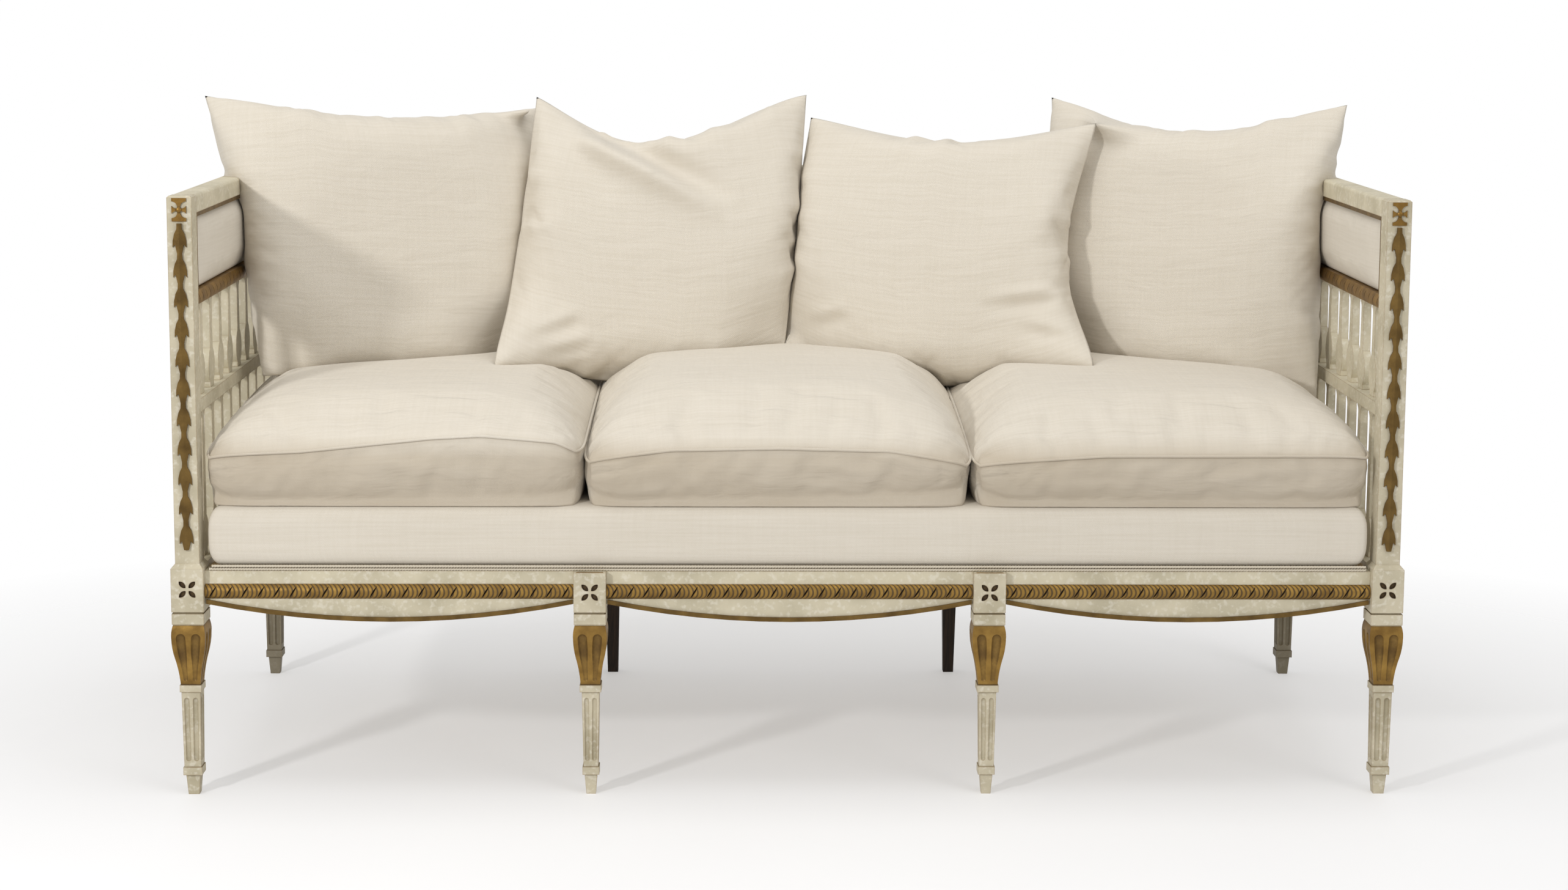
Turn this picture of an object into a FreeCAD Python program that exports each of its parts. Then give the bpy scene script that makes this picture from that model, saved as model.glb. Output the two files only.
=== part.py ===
import FreeCAD, Part
import math
import os

from FreeCAD import Vector

# A three-seat neoclassical sofa, in millimetres. X runs along the seat, Y from front to back,
# Z up; the origin lies on the floor under the middle of the frame.

# Driving dimensions
LEG_PITCH = 595.0            # centre to centre of neighbouring front legs
HALF_DEPTH = 350.0           # middle of the frame to the leg centres, front and back
DIE = 48.0                   # square block on top of each carved leg
STILE = 36.0                 # square stile that a corner leg carries upwards
POST_TOP = 900.0
RAIL_TOP = 343.0             # top of the front and rear seat rails
RAIL_THICK = 30.0
RAIL_SETBACK = 12.0          # seat rail face behind the face of the die
RAIL_END_H = 50.0            # height of a bowed seat rail at its ends
RAIL_MID_H = 77.0            # height of a bowed seat rail in mid span
REAR_RAIL_H = 53.0
TOP_RAIL_H = 27.0
FRAME_THICK = 28.0           # arm and back rails below the top rail
GILT_RAIL = (735.0, 756.0)   # heights of the rope-carved rail
LOW_RAIL = (573.0, 593.0)    # heights of the rail under the upper gallery
BALUSTER_THICK = 12.0
ARM_BALUSTERS = 8
BAY_BALUSTERS = 7
DECK_H = 95.0                # stuffed deck above the seat rails
CUSHION_GAP = 2.0            # between neighbouring seat cushions
ARM_AIR = 14.5               # between an end cushion and the face of its arm
SPLIT_SHIFT = (-21.0, -15.0) # the two joints between the cushions lie this far from even thirds
CUSHION_BORDER = 86.0        # height of the boxed border up to its top seam
PILLOW_HALF = 74.0           # half thickness of a filled pillow
LEAN = 16.0                  # degrees that the pillows lean back

# Named clearances
GLUE = 0.15                  # glue line round a tenon or under an applied ornament
END = 0.1                    # shoulder of a rail off the face it meets
SOFT = 0.3                   # air between a soft piece and its neighbour

# Derived positions
XC = 1.5 * LEG_PITCH
XI = 0.5 * LEG_PITCH
YC = HALF_DEPTH
HD = DIE / 2
HS = STILE / 2
FRONT_FACE = -YC - HD + RAIL_SETBACK
APRON_END = RAIL_TOP - RAIL_END_H
APRON_MID = RAIL_TOP - RAIL_MID_H
REAR_RAIL_BOTTOM = RAIL_TOP - REAR_RAIL_H
TOP_RAIL_Z = POST_TOP - TOP_RAIL_H
DECK_TOP = RAIL_TOP + DECK_H
CUSHION_END = XC - HS - ARM_AIR
SPLITS = (-CUSHION_END / 3 + SPLIT_SHIFT[0], CUSHION_END / 3 + SPLIT_SHIFT[1])
STRAP = 1.8
SIDE_TOP = RAIL_TOP + STRAP + 2 * SOFT
DECK_BOTTOM = SIDE_TOP + STRAP + 1.0 + 3 * SOFT


def box(x0, x1, y0, y1, z0, z1):
    return Part.makeBox(x1 - x0, y1 - y0, z1 - z0, Vector(x0, y0, z0))


def grown(b, c):
    """The box round a shape, grown by a clearance on every side."""
    k = b.BoundBox
    return box(k.XMin - c, k.XMax + c, k.YMin - c, k.YMax + c, k.ZMin - c, k.ZMax + c)


def mirror_x(shape):
    return shape.mirror(Vector(0, 0, 0), Vector(1, 0, 0))


def mirror_y(shape):
    return shape.mirror(Vector(0, 0, 0), Vector(0, 1, 0))


def turned(shape, degrees, axis=Vector(0, 0, 1), at=Vector(0, 0, 0)):
    s = shape.copy()
    s.rotate(at, axis, degrees)
    return s


def moved(shape, x, y, z):
    s = shape.copy()
    s.translate(Vector(x, y, z))
    return s


def arc(a, b, c):
    return Part.Arc(Vector(*a), Vector(*b), Vector(*c)).toShape()


def line(a, b):
    return Part.makeLine(Vector(*a), Vector(*b))


def polygon(points):
    return Part.Wire(Part.makePolygon([Vector(*p) for p in points] + [Vector(*points[0])]))


def prism(points, direction):
    solid = Part.Face(polygon(points)).extrude(direction)
    if solid.Volume < 0:
        solid.reverse()
    return solid


def group(solids):
    return solids[0] if len(solids) == 1 else Part.makeCompound(solids)


def save(name, shape):
    shape.exportStep("parts/%s.step" % name)


# Legs and posts

FOOT = (7.0, 2.5, 31.0)              # half width on the floor, its growth upwards, height
ANKLE_TOP = 43.0
ANKLE_OUT = 1.5                      # the ankle ring stands out this far from the shaft
DIE_BOTTOM = RAIL_TOP - 60.5
COLLAR_TOP = DIE_BOTTOM - 2.5
VASE_TOP = COLLAR_TOP - 17.0
NECK_TOP = VASE_TOP - 93.5
NECK_HALF = 16.0
SHAFT_TOP = NECK_TOP - 10.5
STILE_FOOT = RAIL_TOP + 12.0         # a corner die slopes in to its stile up to here


def leg_outline(foot_half, shaft_low, shaft_high, top):
    """Right-hand outline of a carved leg from floor to top, as edges in the XZ plane."""
    ankle = shaft_low + ANKLE_OUT
    runs = [(foot_half, 0), (foot_half + FOOT[1], FOOT[2]), (ankle, FOOT[2]), (ankle, ANKLE_TOP),
            (shaft_low, ANKLE_TOP), (shaft_high, SHAFT_TOP), (NECK_HALF, SHAFT_TOP),
            (NECK_HALF, NECK_TOP), (NECK_HALF - 1.5, NECK_TOP)]
    low = [line((a[0], 0, a[1]), (b[0], 0, b[1])) for a, b in zip(runs, runs[1:])]
    start = (NECK_HALF - 1.5, 0, NECK_TOP)
    waist = (21.5, 0, VASE_TOP - 49.0)
    bulge = (HD + 1.0, 0, VASE_TOP - 20.0)
    end = (HD - 1.5, 0, VASE_TOP)
    vase = [arc(start, (17.0, 0, VASE_TOP - 71.0), waist),
            arc(waist, (HD, 0, VASE_TOP - 35.0), bulge),
            arc(bulge, (HD + 0.6, 0, VASE_TOP - 9.0), end)]
    tops = [(HD - 1.5, VASE_TOP), (HD - 0.2, VASE_TOP + 1.0), (HD - 0.2, COLLAR_TOP),
            (HD - 2.5, COLLAR_TOP), (HD - 2.5, DIE_BOTTOM), (HD, DIE_BOTTOM)] + top
    high = [line((a[0], 0, a[1]), (b[0], 0, b[1])) for a, b in zip(tops, tops[1:])]
    return low + vase + high, tops[-1]


def square_turned(edges, foot_half, last):
    """A solid that is square at every height, from one outline worked on all four faces."""
    back = [e.mirror(Vector(0, 0, 0), Vector(1, 0, 0)) for e in edges]
    caps = [line((-foot_half, 0, 0), (foot_half, 0, 0)),
            line((-last[0], 0, last[1]), (last[0], 0, last[1]))]
    wire = Part.Wire(Part.__sortEdges__(edges + back + caps))
    slab = moved(Part.Face(wire).extrude(Vector(0, 80, 0)), 0, -40, 0)
    return slab.common(turned(slab, 90))


def capsule(a, b, r_a, r_b):
    """A round-ended tapering cutter from a to b."""
    v = b - a
    body = Part.makeCone(r_a, r_b, v.Length, a, v)
    return body.fuse([Part.makeSphere(r_a, a), Part.makeSphere(r_b, b)])


def face_cutters(shaft_low, shaft_high):
    """Two stopped flutes in the shaft and two leaf lobes in the vase, for the front face."""
    cuts = []
    for side in (-1, 1):
        fx = side * 0.235 * (shaft_low + shaft_high)
        rf = 0.15 * (shaft_low + shaft_high)
        low = Vector(fx * 0.93, -shaft_low - 1.3, ANKLE_TOP + 13)
        high = Vector(fx * 1.05, -shaft_high - 1.1, SHAFT_TOP - 13)
        cuts.append(capsule(low, high, rf * 0.94, rf))
        foot = Vector(side * 6.8, -NECK_HALF - 2.2, NECK_TOP + 9)
        tip = Vector(side * 11.2, -HD - 5.4, VASE_TOP - 20)
        cuts.append(capsule(foot, tip, 4.4, 8.2))
    return cuts


def petal_cutters(y_face, z_mid):
    """Four sunk petals in an X, cut into a die face that looks along -Y."""
    cuts = []
    for k in range(4):
        petal = Part.Face(Part.Wire([arc((3.2, 0, 0), (10.0, 0, 3.6), (17.0, 0, 0)),
                                     arc((17.0, 0, 0), (10.0, 0, -3.6), (3.2, 0, 0))]))
        solid = petal.extrude(Vector(0, 8, 0))
        solid = turned(solid, 45 + 90 * k, Vector(0, 1, 0))
        cuts.append(moved(solid, 0, y_face - 4.8, z_mid))
    return cuts


def carved_leg(foot_half, shaft_low, shaft_high, top, die_faces, die_mid):
    """Peg foot, fluted shaft, leaf-carved vase, collar and die, all from one timber."""
    edges, last = leg_outline(foot_half, shaft_low, shaft_high, top)
    leg = square_turned(edges, foot_half, last)
    cuts = []
    for q in range(4):
        cuts += [turned(c, 90 * q) for c in face_cutters(shaft_low, shaft_high)]
    for q in die_faces:
        cuts += [turned(c, 90 * q) for c in petal_cutters(-HD, die_mid)]
    return leg.cut(cuts)


# Tenons: each is one box, and the mortise is the same box grown by the glue line

TEN = 12.0                           # tenon thickness
ROOT = 3.0                           # depth of a tenon inside its own rail
SEAT_TEN = (APRON_END + 6.0, RAIL_TOP - 8.0)
REAR_TEN = (REAR_RAIL_BOTTOM + 9.0, RAIL_TOP - 8.0)
TOP_TEN = (TOP_RAIL_Z + 5.0, POST_TOP - 8.0)
GILT_TEN = (GILT_RAIL[0] + 4.0, GILT_RAIL[1] - 4.0)
LOW_TEN = (LOW_RAIL[0] + 4.0, LOW_RAIL[1] - 4.0)
BRACE = (RAIL_TOP - 43.0, RAIL_TOP - 4.0)
BRACE_TEN = (BRACE[0] + 6.0, BRACE[1] - 5.0)


def front_rail_tenons(x0, x1):
    y = FRONT_FACE + RAIL_THICK / 2
    return [box(x0 - 20, x0 + ROOT, y - TEN / 2, y + TEN / 2, *SEAT_TEN),
            box(x1 - ROOT, x1 + 20, y - TEN / 2, y + TEN / 2, *SEAT_TEN)]


def rear_rail_tenons():
    y = -FRONT_FACE - RAIL_THICK / 2
    x = XC - HD
    return [box(-x - 20, ROOT - x, y - TEN / 2, y + TEN / 2, *REAR_TEN),
            box(x - ROOT, x + 20, y - TEN / 2, y + TEN / 2, *REAR_TEN)]


def side_rail_tenons():
    x = XC + HD - RAIL_SETBACK - RAIL_THICK / 2
    y = YC - HD
    return [box(x - TEN / 2, x + TEN / 2, -y - 13, ROOT - y, *SEAT_TEN),
            box(x - TEN / 2, x + TEN / 2, y - ROOT, y + 13, *SEAT_TEN)]


def arm_tenons(z0, z1):
    y = YC - HS
    return [box(XC - TEN / 2, XC + TEN / 2, -y - 15, ROOT - y, z0, z1),
            box(XC - TEN / 2, XC + TEN / 2, y - ROOT, y + 15, z0, z1)]


def back_tenons(z0, z1):
    x = XC - HS
    return [box(-x - 10, ROOT - x, YC - TEN / 2, YC + TEN / 2, z0, z1),
            box(x - ROOT, x + 10, YC - TEN / 2, YC + TEN / 2, z0, z1)]


ARM_TENS = arm_tenons(*TOP_TEN) + arm_tenons(*GILT_TEN) + arm_tenons(*LOW_TEN)
BACK_TENS = back_tenons(*TOP_TEN) + back_tenons(*GILT_TEN) + back_tenons(*LOW_TEN)


def brace_tenons():
    y0, y1 = -YC + HD, -FRONT_FACE - RAIL_THICK
    return [box(XI - TEN / 2, XI + TEN / 2, y0 - 10, y0 + ROOT, *BRACE_TEN),
            box(XI - TEN / 2, XI + TEN / 2, y1 - ROOT, y1 + 10, *BRACE_TEN)]


def near(cutters, x, y):
    """Mortises for the tenons whose middle lies within a die of the post at x, y."""
    out = []
    for c in cutters:
        b = c.BoundBox
        mid = b.Center
        if abs(mid.x - x) < HD + 1 and abs(mid.y - y) < HD + 1:
            out.append(grown(c, GLUE))
    return out


def corner_post(front):
    """Right-hand corner leg with its die and stile; the front one is cut for the front rail."""
    top = [(HD, STILE_FOOT - 7.0), (HS, STILE_FOOT), (HS, POST_TOP - 2.5), (HS - 2.5, POST_TOP)]
    carved_faces = (0, 1) if front else (1, 2)
    post = carved_leg(FOOT[0] + 1.0, 12.5, 14.0, top, carved_faces, RAIL_TOP - 26.0)
    y = -YC if front else YC
    post = moved(post, XC, y, 0)
    rails = front_rail_tenons(XI + HD, XC - HD) if front else rear_rail_tenons()
    return post.cut(near(rails + side_rail_tenons() + ARM_TENS + BACK_TENS, XC, y))


def inner_front_leg():
    leg = carved_leg(FOOT[0], 11.0, 13.0, [(HD, RAIL_TOP)], (0,), RAIL_TOP - 30.0)
    leg = moved(leg, XI, -YC, 0)
    tens = front_rail_tenons(-XI + HD, XI - HD) + front_rail_tenons(XI + HD, XC - HD)
    return leg.cut(near(tens + brace_tenons(), XI, -YC))


REAR_RAKE = 12.0                     # foot of an inner rear leg behind the frame line
REAR_LEG_TEN = box(XI - 10, XI + 10, YC - TEN / 2, YC + TEN / 2,
                   REAR_RAIL_BOTTOM - ROOT, REAR_RAIL_BOTTOM + 18)


def inner_rear_leg():
    """Plain square leg, tapering and raked back, tenoned up into the rear rail."""
    y = -FRONT_FACE - RAIL_THICK / 2
    corners = ((-1, -1), (1, -1), (1, 1), (-1, 1))
    low = polygon([(XI + i * 9, YC + REAR_RAKE + j * 9, 0) for i, j in corners])
    high = polygon([(XI + i * 15, y + j * 15, REAR_RAIL_BOTTOM - END) for i, j in corners])
    return Part.makeLoft([low, high], True, True).fuse(REAR_LEG_TEN).removeSplitter()


# Seat frame

BAND = (RAIL_TOP - 42.0, RAIL_TOP - 20.0)    # heights of the ribbon-carved band


def bowed_rail(length):
    """A seat rail along X from 0 to length, its face at y 0 and its underside bowed down."""
    wire = Part.Wire([arc((0, 0, APRON_END), (length / 2, 0, APRON_MID), (length, 0, APRON_END)),
                      line((length, 0, APRON_END), (length, 0, RAIL_TOP)),
                      line((length, 0, RAIL_TOP), (0, 0, RAIL_TOP)),
                      line((0, 0, RAIL_TOP), (0, 0, APRON_END))])
    rail = Part.Face(wire).extrude(Vector(0, RAIL_THICK, 0))
    sunk = box(-1, length + 1, -1, 2.0, BAND[0] - GLUE, BAND[1] + GLUE)
    return rail.cut(sunk)


def ribbon_band(length):
    """A half-round gilt moulding wound with a ribbon: crossing grooves cut its crown."""
    mid = (BAND[0] + BAND[1]) / 2
    section = Part.Wire([arc((0, 0, BAND[0]), (0, -7.5, mid), (0, 0, BAND[1])),
                         line((0, 0, BAND[1]), (0, 2.0 - GLUE, BAND[1])),
                         line((0, 2.0 - GLUE, BAND[1]), (0, 2.0 - GLUE, BAND[0])),
                         line((0, 2.0 - GLUE, BAND[0]), (0, 0, BAND[0]))])
    band = Part.Face(section).extrude(Vector(length, 0, 0))
    count = int(length // 23)
    pitch = length / count
    cuts = []
    for k in range(count):
        notch = prism([(-2.2, -10, -18), (2.2, -10, -18), (0, -3.6, -18)], Vector(0, 0, 36))
        notch = turned(notch, 32, Vector(0, 1, 0))
        cuts.append(moved(notch, (k + 0.5) * pitch, 0, mid))
    return band.cut(cuts)


def apron_bead(length):
    """Gilt bead along the bowed lower edge of a seat rail."""
    z0, z1 = APRON_END + 0.5, APRON_MID + 0.5
    rise = 6.5
    a, b = 2.0, length - 2.0
    wire = Part.Wire([arc((a, 0, z0), (length / 2, 0, z1), (b, 0, z0)),
                      line((b, 0, z0), (b, 0, z0 + rise)),
                      arc((b, 0, z0 + rise), (length / 2, 0, z1 + rise), (a, 0, z0 + rise)),
                      line((a, 0, z0 + rise), (a, 0, z0))])
    return Part.Face(wire).extrude(Vector(0, -3.5, 0)).translated(Vector(0, -GLUE, 0))


FRONT_LEN = LEG_PITCH - DIE
SIDE_LEN = 2 * (YC - HD)


def front_spans():
    return {"left": -XC + HD, "center": -XI + HD, "right": XI + HD}


def on_front(shape, x):
    return moved(shape, x, FRONT_FACE, 0)


def on_side(shape):
    """Turns a piece made along X to the right-hand side, its face looking along +X."""
    s = turned(shape, 90)
    return moved(s, XC + HD - RAIL_SETBACK, -SIDE_LEN / 2, 0)


def front_rail(x):
    rail = on_front(bowed_rail(FRONT_LEN - 2 * END), x + END)
    return rail.fuse(front_rail_tenons(x, x + FRONT_LEN)).removeSplitter()


def side_rail():
    rail = moved(on_side(bowed_rail(SIDE_LEN - 2 * END)), 0, END, 0)
    x1 = XC + HD - RAIL_SETBACK
    step = box(x1 - RAIL_THICK, x1, -SIDE_LEN / 2 + END, SIDE_LEN / 2 - END, RAIL_TOP, SIDE_TOP)
    rail = rail.fuse([step] + side_rail_tenons()).removeSplitter()
    return rail.cut(arm_sockets(SIDE_TOP, SIDE_TOP))


def rear_rail():
    x = XC - HD - END
    y = -FRONT_FACE
    rail = box(-x, x, y - RAIL_THICK, y, REAR_RAIL_BOTTOM, RAIL_TOP)
    rail = rail.fuse(rear_rail_tenons()).removeSplitter()
    cuts = [grown(REAR_LEG_TEN, GLUE), grown(UPRIGHT_FOOT, GLUE), grown(brace_tenons()[1], GLUE)]
    cuts += [mirror_x(c) for c in cuts]
    return rail.cut(cuts + back_sockets(RAIL_TOP))


def seat_brace():
    bar = box(XI - 15, XI + 15, -YC + HD + END, -FRONT_FACE - RAIL_THICK - END, *BRACE)
    return bar.fuse(brace_tenons()).removeSplitter()


BLOCK = (RAIL_TOP - 40.0, RAIL_TOP - 10.0)
SCREW_Z = (BLOCK[0] + BLOCK[1]) / 2


def corner_block():
    """Block glued and screwed behind the front right corner, notched round the die."""
    gap = GLUE
    x_side = XC + HD - RAIL_SETBACK - RAIL_THICK - gap
    y_front = FRONT_FACE + RAIL_THICK + gap
    x_die = XC - HD - gap
    y_die = -YC + HD + gap
    leg = 74.0
    z = BLOCK[0]
    block = prism([(x_die, y_front, z), (x_die, y_die, z), (x_side, y_die, z),
                   (x_side, y_front + leg, z), (x_side - leg, y_front, z)],
                  Vector(0, 0, BLOCK[1] - BLOCK[0]))
    for at, way in block_screw_places():
        block = block.cut(stepped_pin(at, way, 2.6, 50, 5.2, 37))
    return block


def stepped_pin(at, way, r_shank, shank, r_head, head):
    """A turned pin with its head, the underside of the head at a point, pointing one way."""
    pts = [(0, 0, -head), (r_head, 0, -head), (r_head, 0, 0), (r_shank, 0, 0),
           (r_shank, 0, shank), (0, 0, shank)]
    pin = Part.Face(polygon(pts)).revolve(Vector(0, 0, 0), Vector(0, 0, 1), 360)
    pin = pin if pin.Volume > 0 else pin.reversed()
    pin.Placement = FreeCAD.Placement(at, FreeCAD.Rotation(Vector(0, 0, 1), way))
    return pin


def block_screw_places():
    """Undersides of the two screw heads in the front right block, and their directions."""
    x = XC - HD - 32
    y = -YC + HD + 26
    return [(Vector(x, FRONT_FACE + RAIL_THICK + 22, SCREW_Z), Vector(0, -1, 0)),
            (Vector(XC + HD - RAIL_SETBACK - RAIL_THICK - 22, y, SCREW_Z), Vector(1, 0, 0))]


def block_screws():
    solids = []
    for at, way in block_screw_places():
        pin = stepped_pin(at - way * GLUE, way, 2.5, 38, 5.0, 3)
        top = at - way * (3 + GLUE)
        slot = box(top.x - 6, top.x + 6, top.y - 6, top.y + 6, top.z - 0.6, top.z + 0.6)
        slot = slot.cut(Part.makeCylinder(9, 6, top + way * 1.2, way))
        solids.append(pin.cut(slot))
    return solids


def screw_holes():
    cuts = [Part.makeCylinder(2.6, 39, at, way) for at, way in block_screw_places()]
    cuts += [mirror_y(c) for c in cuts]
    return cuts + [mirror_x(c) for c in cuts]


# Arms and back

def baluster(height):
    """Flat sawn baluster in the XZ plane with a bulbous foot, slender neck and two tenons."""
    h = height
    right = [line((13, 0, 0), (13, 0, 8)), arc((13, 0, 8), (22.5, 0, 31), (9, 0, 60)),
             line((9, 0, 60), (7, 0, h - 20)), arc((7, 0, h - 20), (8.6, 0, h - 11), (13, 0, h - 7)),
             line((13, 0, h - 7), (13, 0, h))]
    left = [e.mirror(Vector(0, 0, 0), Vector(1, 0, 0)) for e in right]
    wire = Part.Wire(Part.__sortEdges__(right + left + [line((-13, 0, 0), (13, 0, 0)),
                                                        line((-13, 0, h), (13, 0, h))]))
    body = Part.Face(wire).extrude(Vector(0, BALUSTER_THICK, 0))
    body = moved(body, 0, -BALUSTER_THICK / 2, 0)
    pegs = [box(-8, 8, -4, 4, -8, 0), box(-8, 8, -4, 4, h, h + 8)]
    return body.fuse(pegs).removeSplitter()


def socket(x, y, z, along_x):
    a, b = (8, 4) if along_x else (4, 8)
    g = GLUE
    return box(x - a - g, x + a + g, y - b - g, y + b + g, z - 8 - g, z + 8 + g)


def arm_places():
    span = 2 * (YC - HS)
    pitch = span / (ARM_BALUSTERS + 1)
    return [-span / 2 + pitch * (k + 1) for k in range(ARM_BALUSTERS)]


def back_bays():
    half = FRAME_THICK / 2
    return [(-XC + HS, -XI - half), (-XI + half, XI - half), (XI + half, XC - HS)]


def back_places():
    out = []
    for a, b in back_bays():
        pitch = (b - a) / (BAY_BALUSTERS + 1)
        out += [a + pitch * (k + 1) for k in range(BAY_BALUSTERS)]
    return out


def arm_sockets(*levels):
    return [socket(XC, y, z, False) for z in levels for y in arm_places()]


def back_sockets(*levels):
    return [socket(x, YC, z, True) for z in levels for x in back_places()]


def tiers(base):
    """Foot and height of the lower and upper rows of balusters."""
    return [(base + GLUE, LOW_RAIL[0] - base - 2 * GLUE),
            (LOW_RAIL[1] + GLUE, GILT_RAIL[0] - LOW_RAIL[1] - 2 * GLUE)]


def arm_balusters():
    out = []
    for z, h in tiers(SIDE_TOP):
        one = turned(baluster(h), 90)
        out += [moved(one, XC, y, z) for y in arm_places()]
    return out


def back_balusters():
    out = []
    for z, h in tiers(RAIL_TOP):
        one = baluster(h)
        out += [moved(one, x, YC, z) for x in back_places()]
    return out


def top_rail_bar(length):
    """Top rail along X with eased upper edges, its middle on y 0."""
    e = 5.0
    z0, z1 = TOP_RAIL_Z, POST_TOP
    c = e * (1 - math.sqrt(0.5))
    sec = [line((0, HS, z0), (0, HS, z1 - e)),
           arc((0, HS, z1 - e), (0, HS - c, z1 - c), (0, HS - e, z1)),
           line((0, HS - e, z1), (0, e - HS, z1)),
           arc((0, e - HS, z1), (0, c - HS, z1 - c), (0, -HS, z1 - e)),
           line((0, -HS, z1 - e), (0, -HS, z0)), line((0, -HS, z0), (0, HS, z0))]
    return moved(Part.Face(Part.Wire(sec)).extrude(Vector(length, 0, 0)), -length / 2, 0, 0)


def rope_bar(length):
    """Gilt rail along X, rounded on both faces and cut with slanting rope grooves."""
    t = FRAME_THICK / 2
    z0, z1 = GILT_RAIL
    mid = (z0 + z1) / 2
    sec = [arc((0, t, z0), (0, t + 3.5, mid), (0, t, z1)), line((0, t, z1), (0, -t, z1)),
           arc((0, -t, z1), (0, -t - 3.5, mid), (0, -t, z0)), line((0, -t, z0), (0, t, z0))]
    bar = moved(Part.Face(Part.Wire(sec)).extrude(Vector(length, 0, 0)), -length / 2, 0, 0)
    count = int(length // 26)
    cuts = []
    for k in range(count):
        v = prism([(-2.4, -t - 8, -17), (2.4, -t - 8, -17), (0, -t - 1.0, -17)], Vector(0, 0, 34))
        v = turned(v, 38, Vector(0, 1, 0))
        cuts.append(moved(v, (k + 0.5 - count / 2) * length / count, 0, mid))
    return bar.cut(cuts)


def flat_bar(length):
    t = FRAME_THICK / 2
    return box(-length / 2, length / 2, -t, t, LOW_RAIL[0], LOW_RAIL[1])


ARM_LEN = 2 * (YC - HS) - 2 * END
BACK_LEN = 2 * (XC - HS) - 2 * END


def in_arm(shape):
    """Turns a bar made along X into the right arm, its -Y face looking inwards."""
    return moved(turned(shape, -90), XC, 0, 0)


def arm_top_rail():
    return in_arm(top_rail_bar(ARM_LEN)).fuse(arm_tenons(*TOP_TEN)).removeSplitter()


def arm_gilt_rail():
    bar = in_arm(rope_bar(ARM_LEN)).fuse(arm_tenons(*GILT_TEN))
    return bar.cut(arm_sockets(GILT_RAIL[0]))


def arm_low_rail():
    bar = in_arm(flat_bar(ARM_LEN)).fuse(arm_tenons(*LOW_TEN)).removeSplitter()
    return bar.cut(arm_sockets(*LOW_RAIL))


UPRIGHT_Y = (YC - TEN / 2, YC + TEN / 2)
UPRIGHT_FOOT = box(XI - 8, XI + 8, *UPRIGHT_Y, RAIL_TOP - 16, RAIL_TOP + ROOT)
UPRIGHT_HEAD = box(XI - 8, XI + 8, *UPRIGHT_Y, TOP_RAIL_Z - ROOT, TOP_RAIL_Z + 14)


def back_upright():
    """Upright between two back bays, halved over the two rails that cross it."""
    t = FRAME_THICK / 2
    bar = box(XI - t, XI + t, YC - t, YC + t, RAIL_TOP + END, TOP_RAIL_Z - END)
    bar = bar.fuse([UPRIGHT_FOOT, UPRIGHT_HEAD]).removeSplitter()
    g = GLUE
    laps = [box(XI - 20, XI + 20, YC - t - 6, YC + g, z0 - g, z1 + g)
            for z0, z1 in (GILT_RAIL, LOW_RAIL)]
    return bar.cut(laps)


def back_laps():
    """Rear halves taken out of a back rail where the uprights cross it."""
    t = FRAME_THICK / 2 + GLUE
    z0, z1 = LOW_RAIL[0] - 10, GILT_RAIL[1] + 10
    return [box(s * XI - t, s * XI + t, YC, YC + 30, z0, z1) for s in (-1, 1)]


def back_top_rail():
    bar = moved(top_rail_bar(BACK_LEN), 0, YC, 0).fuse(back_tenons(*TOP_TEN)).removeSplitter()
    head = grown(UPRIGHT_HEAD, GLUE)
    return bar.cut([head, mirror_x(head)])


def back_gilt_rail():
    bar = moved(rope_bar(BACK_LEN), 0, YC, 0).fuse(back_tenons(*GILT_TEN))
    return bar.cut(back_laps() + back_sockets(GILT_RAIL[0]))


def back_low_rail():
    bar = moved(flat_bar(BACK_LEN), 0, YC, 0).fuse(back_tenons(*LOW_TEN)).removeSplitter()
    return bar.cut(back_laps() + back_sockets(*LOW_RAIL))


PAD_Z = (GILT_RAIL[1] + SOFT, TOP_RAIL_Z - SOFT)
BEAD = 6.0


def rounded_rect(u0, u1, v0, v1, r, w):
    """Closed wire of four lines and four quarter arcs in the XZ plane at y = w."""
    c = r * (1 - math.sqrt(0.5))
    e = [line((u0 + r, w, v0), (u1 - r, w, v0)),
         arc((u1 - r, w, v0), (u1 - c, w, v0 + c), (u1, w, v0 + r)),
         line((u1, w, v0 + r), (u1, w, v1 - r)),
         arc((u1, w, v1 - r), (u1 - c, w, v1 - c), (u1 - r, w, v1)),
         line((u1 - r, w, v1), (u0 + r, w, v1)),
         arc((u0 + r, w, v1), (u0 + c, w, v1 - c), (u0, w, v1 - r)),
         line((u0, w, v1 - r), (u0, w, v0 + r)),
         arc((u0, w, v0 + r), (u0 + c, w, v0 + c), (u0 + r, w, v0))]
    return Part.Wire(e)


def pad(u0, u1):
    """Stuffed panel along X with a soft crown on each face."""
    z0, z1 = PAD_Z
    slab = box(u0 + SOFT, u1 - SOFT, -12.5, 12.5, z0, z1)
    crowns = []
    for s in (-1, 1):
        wires = [rounded_rect(u0 + i, u1 - i, z0 + i, z1 - i, r, s * w)
                 for i, r, w in ((BEAD + 1.5, 3.0, 12.0), (13.0, 8.0, 15.5), (26.0, 14.0, 17.5))]
        crowns.append(Part.makeLoft(wires, True, False))
    return slab.fuse(crowns).removeSplitter()


def beads(u0, u1):
    """Gilt bead strips over the top and the two sides of a panel, on the face at -Y."""
    z1 = TOP_RAIL_Z - GLUE
    y0, y1 = -HS + 0.4, -12.5 - SOFT
    return [box(u0 + GLUE, u1 - GLUE, y0, y1, z1 - BEAD, z1),
            box(u0 + GLUE, u0 + BEAD, y0, y1, PAD_Z[0], z1 - BEAD - GLUE),
            box(u1 - BEAD, u1 - GLUE, y0, y1, PAD_Z[0], z1 - BEAD - GLUE)]


ARM_SPAN = (-(YC - HS), YC - HS)


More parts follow.
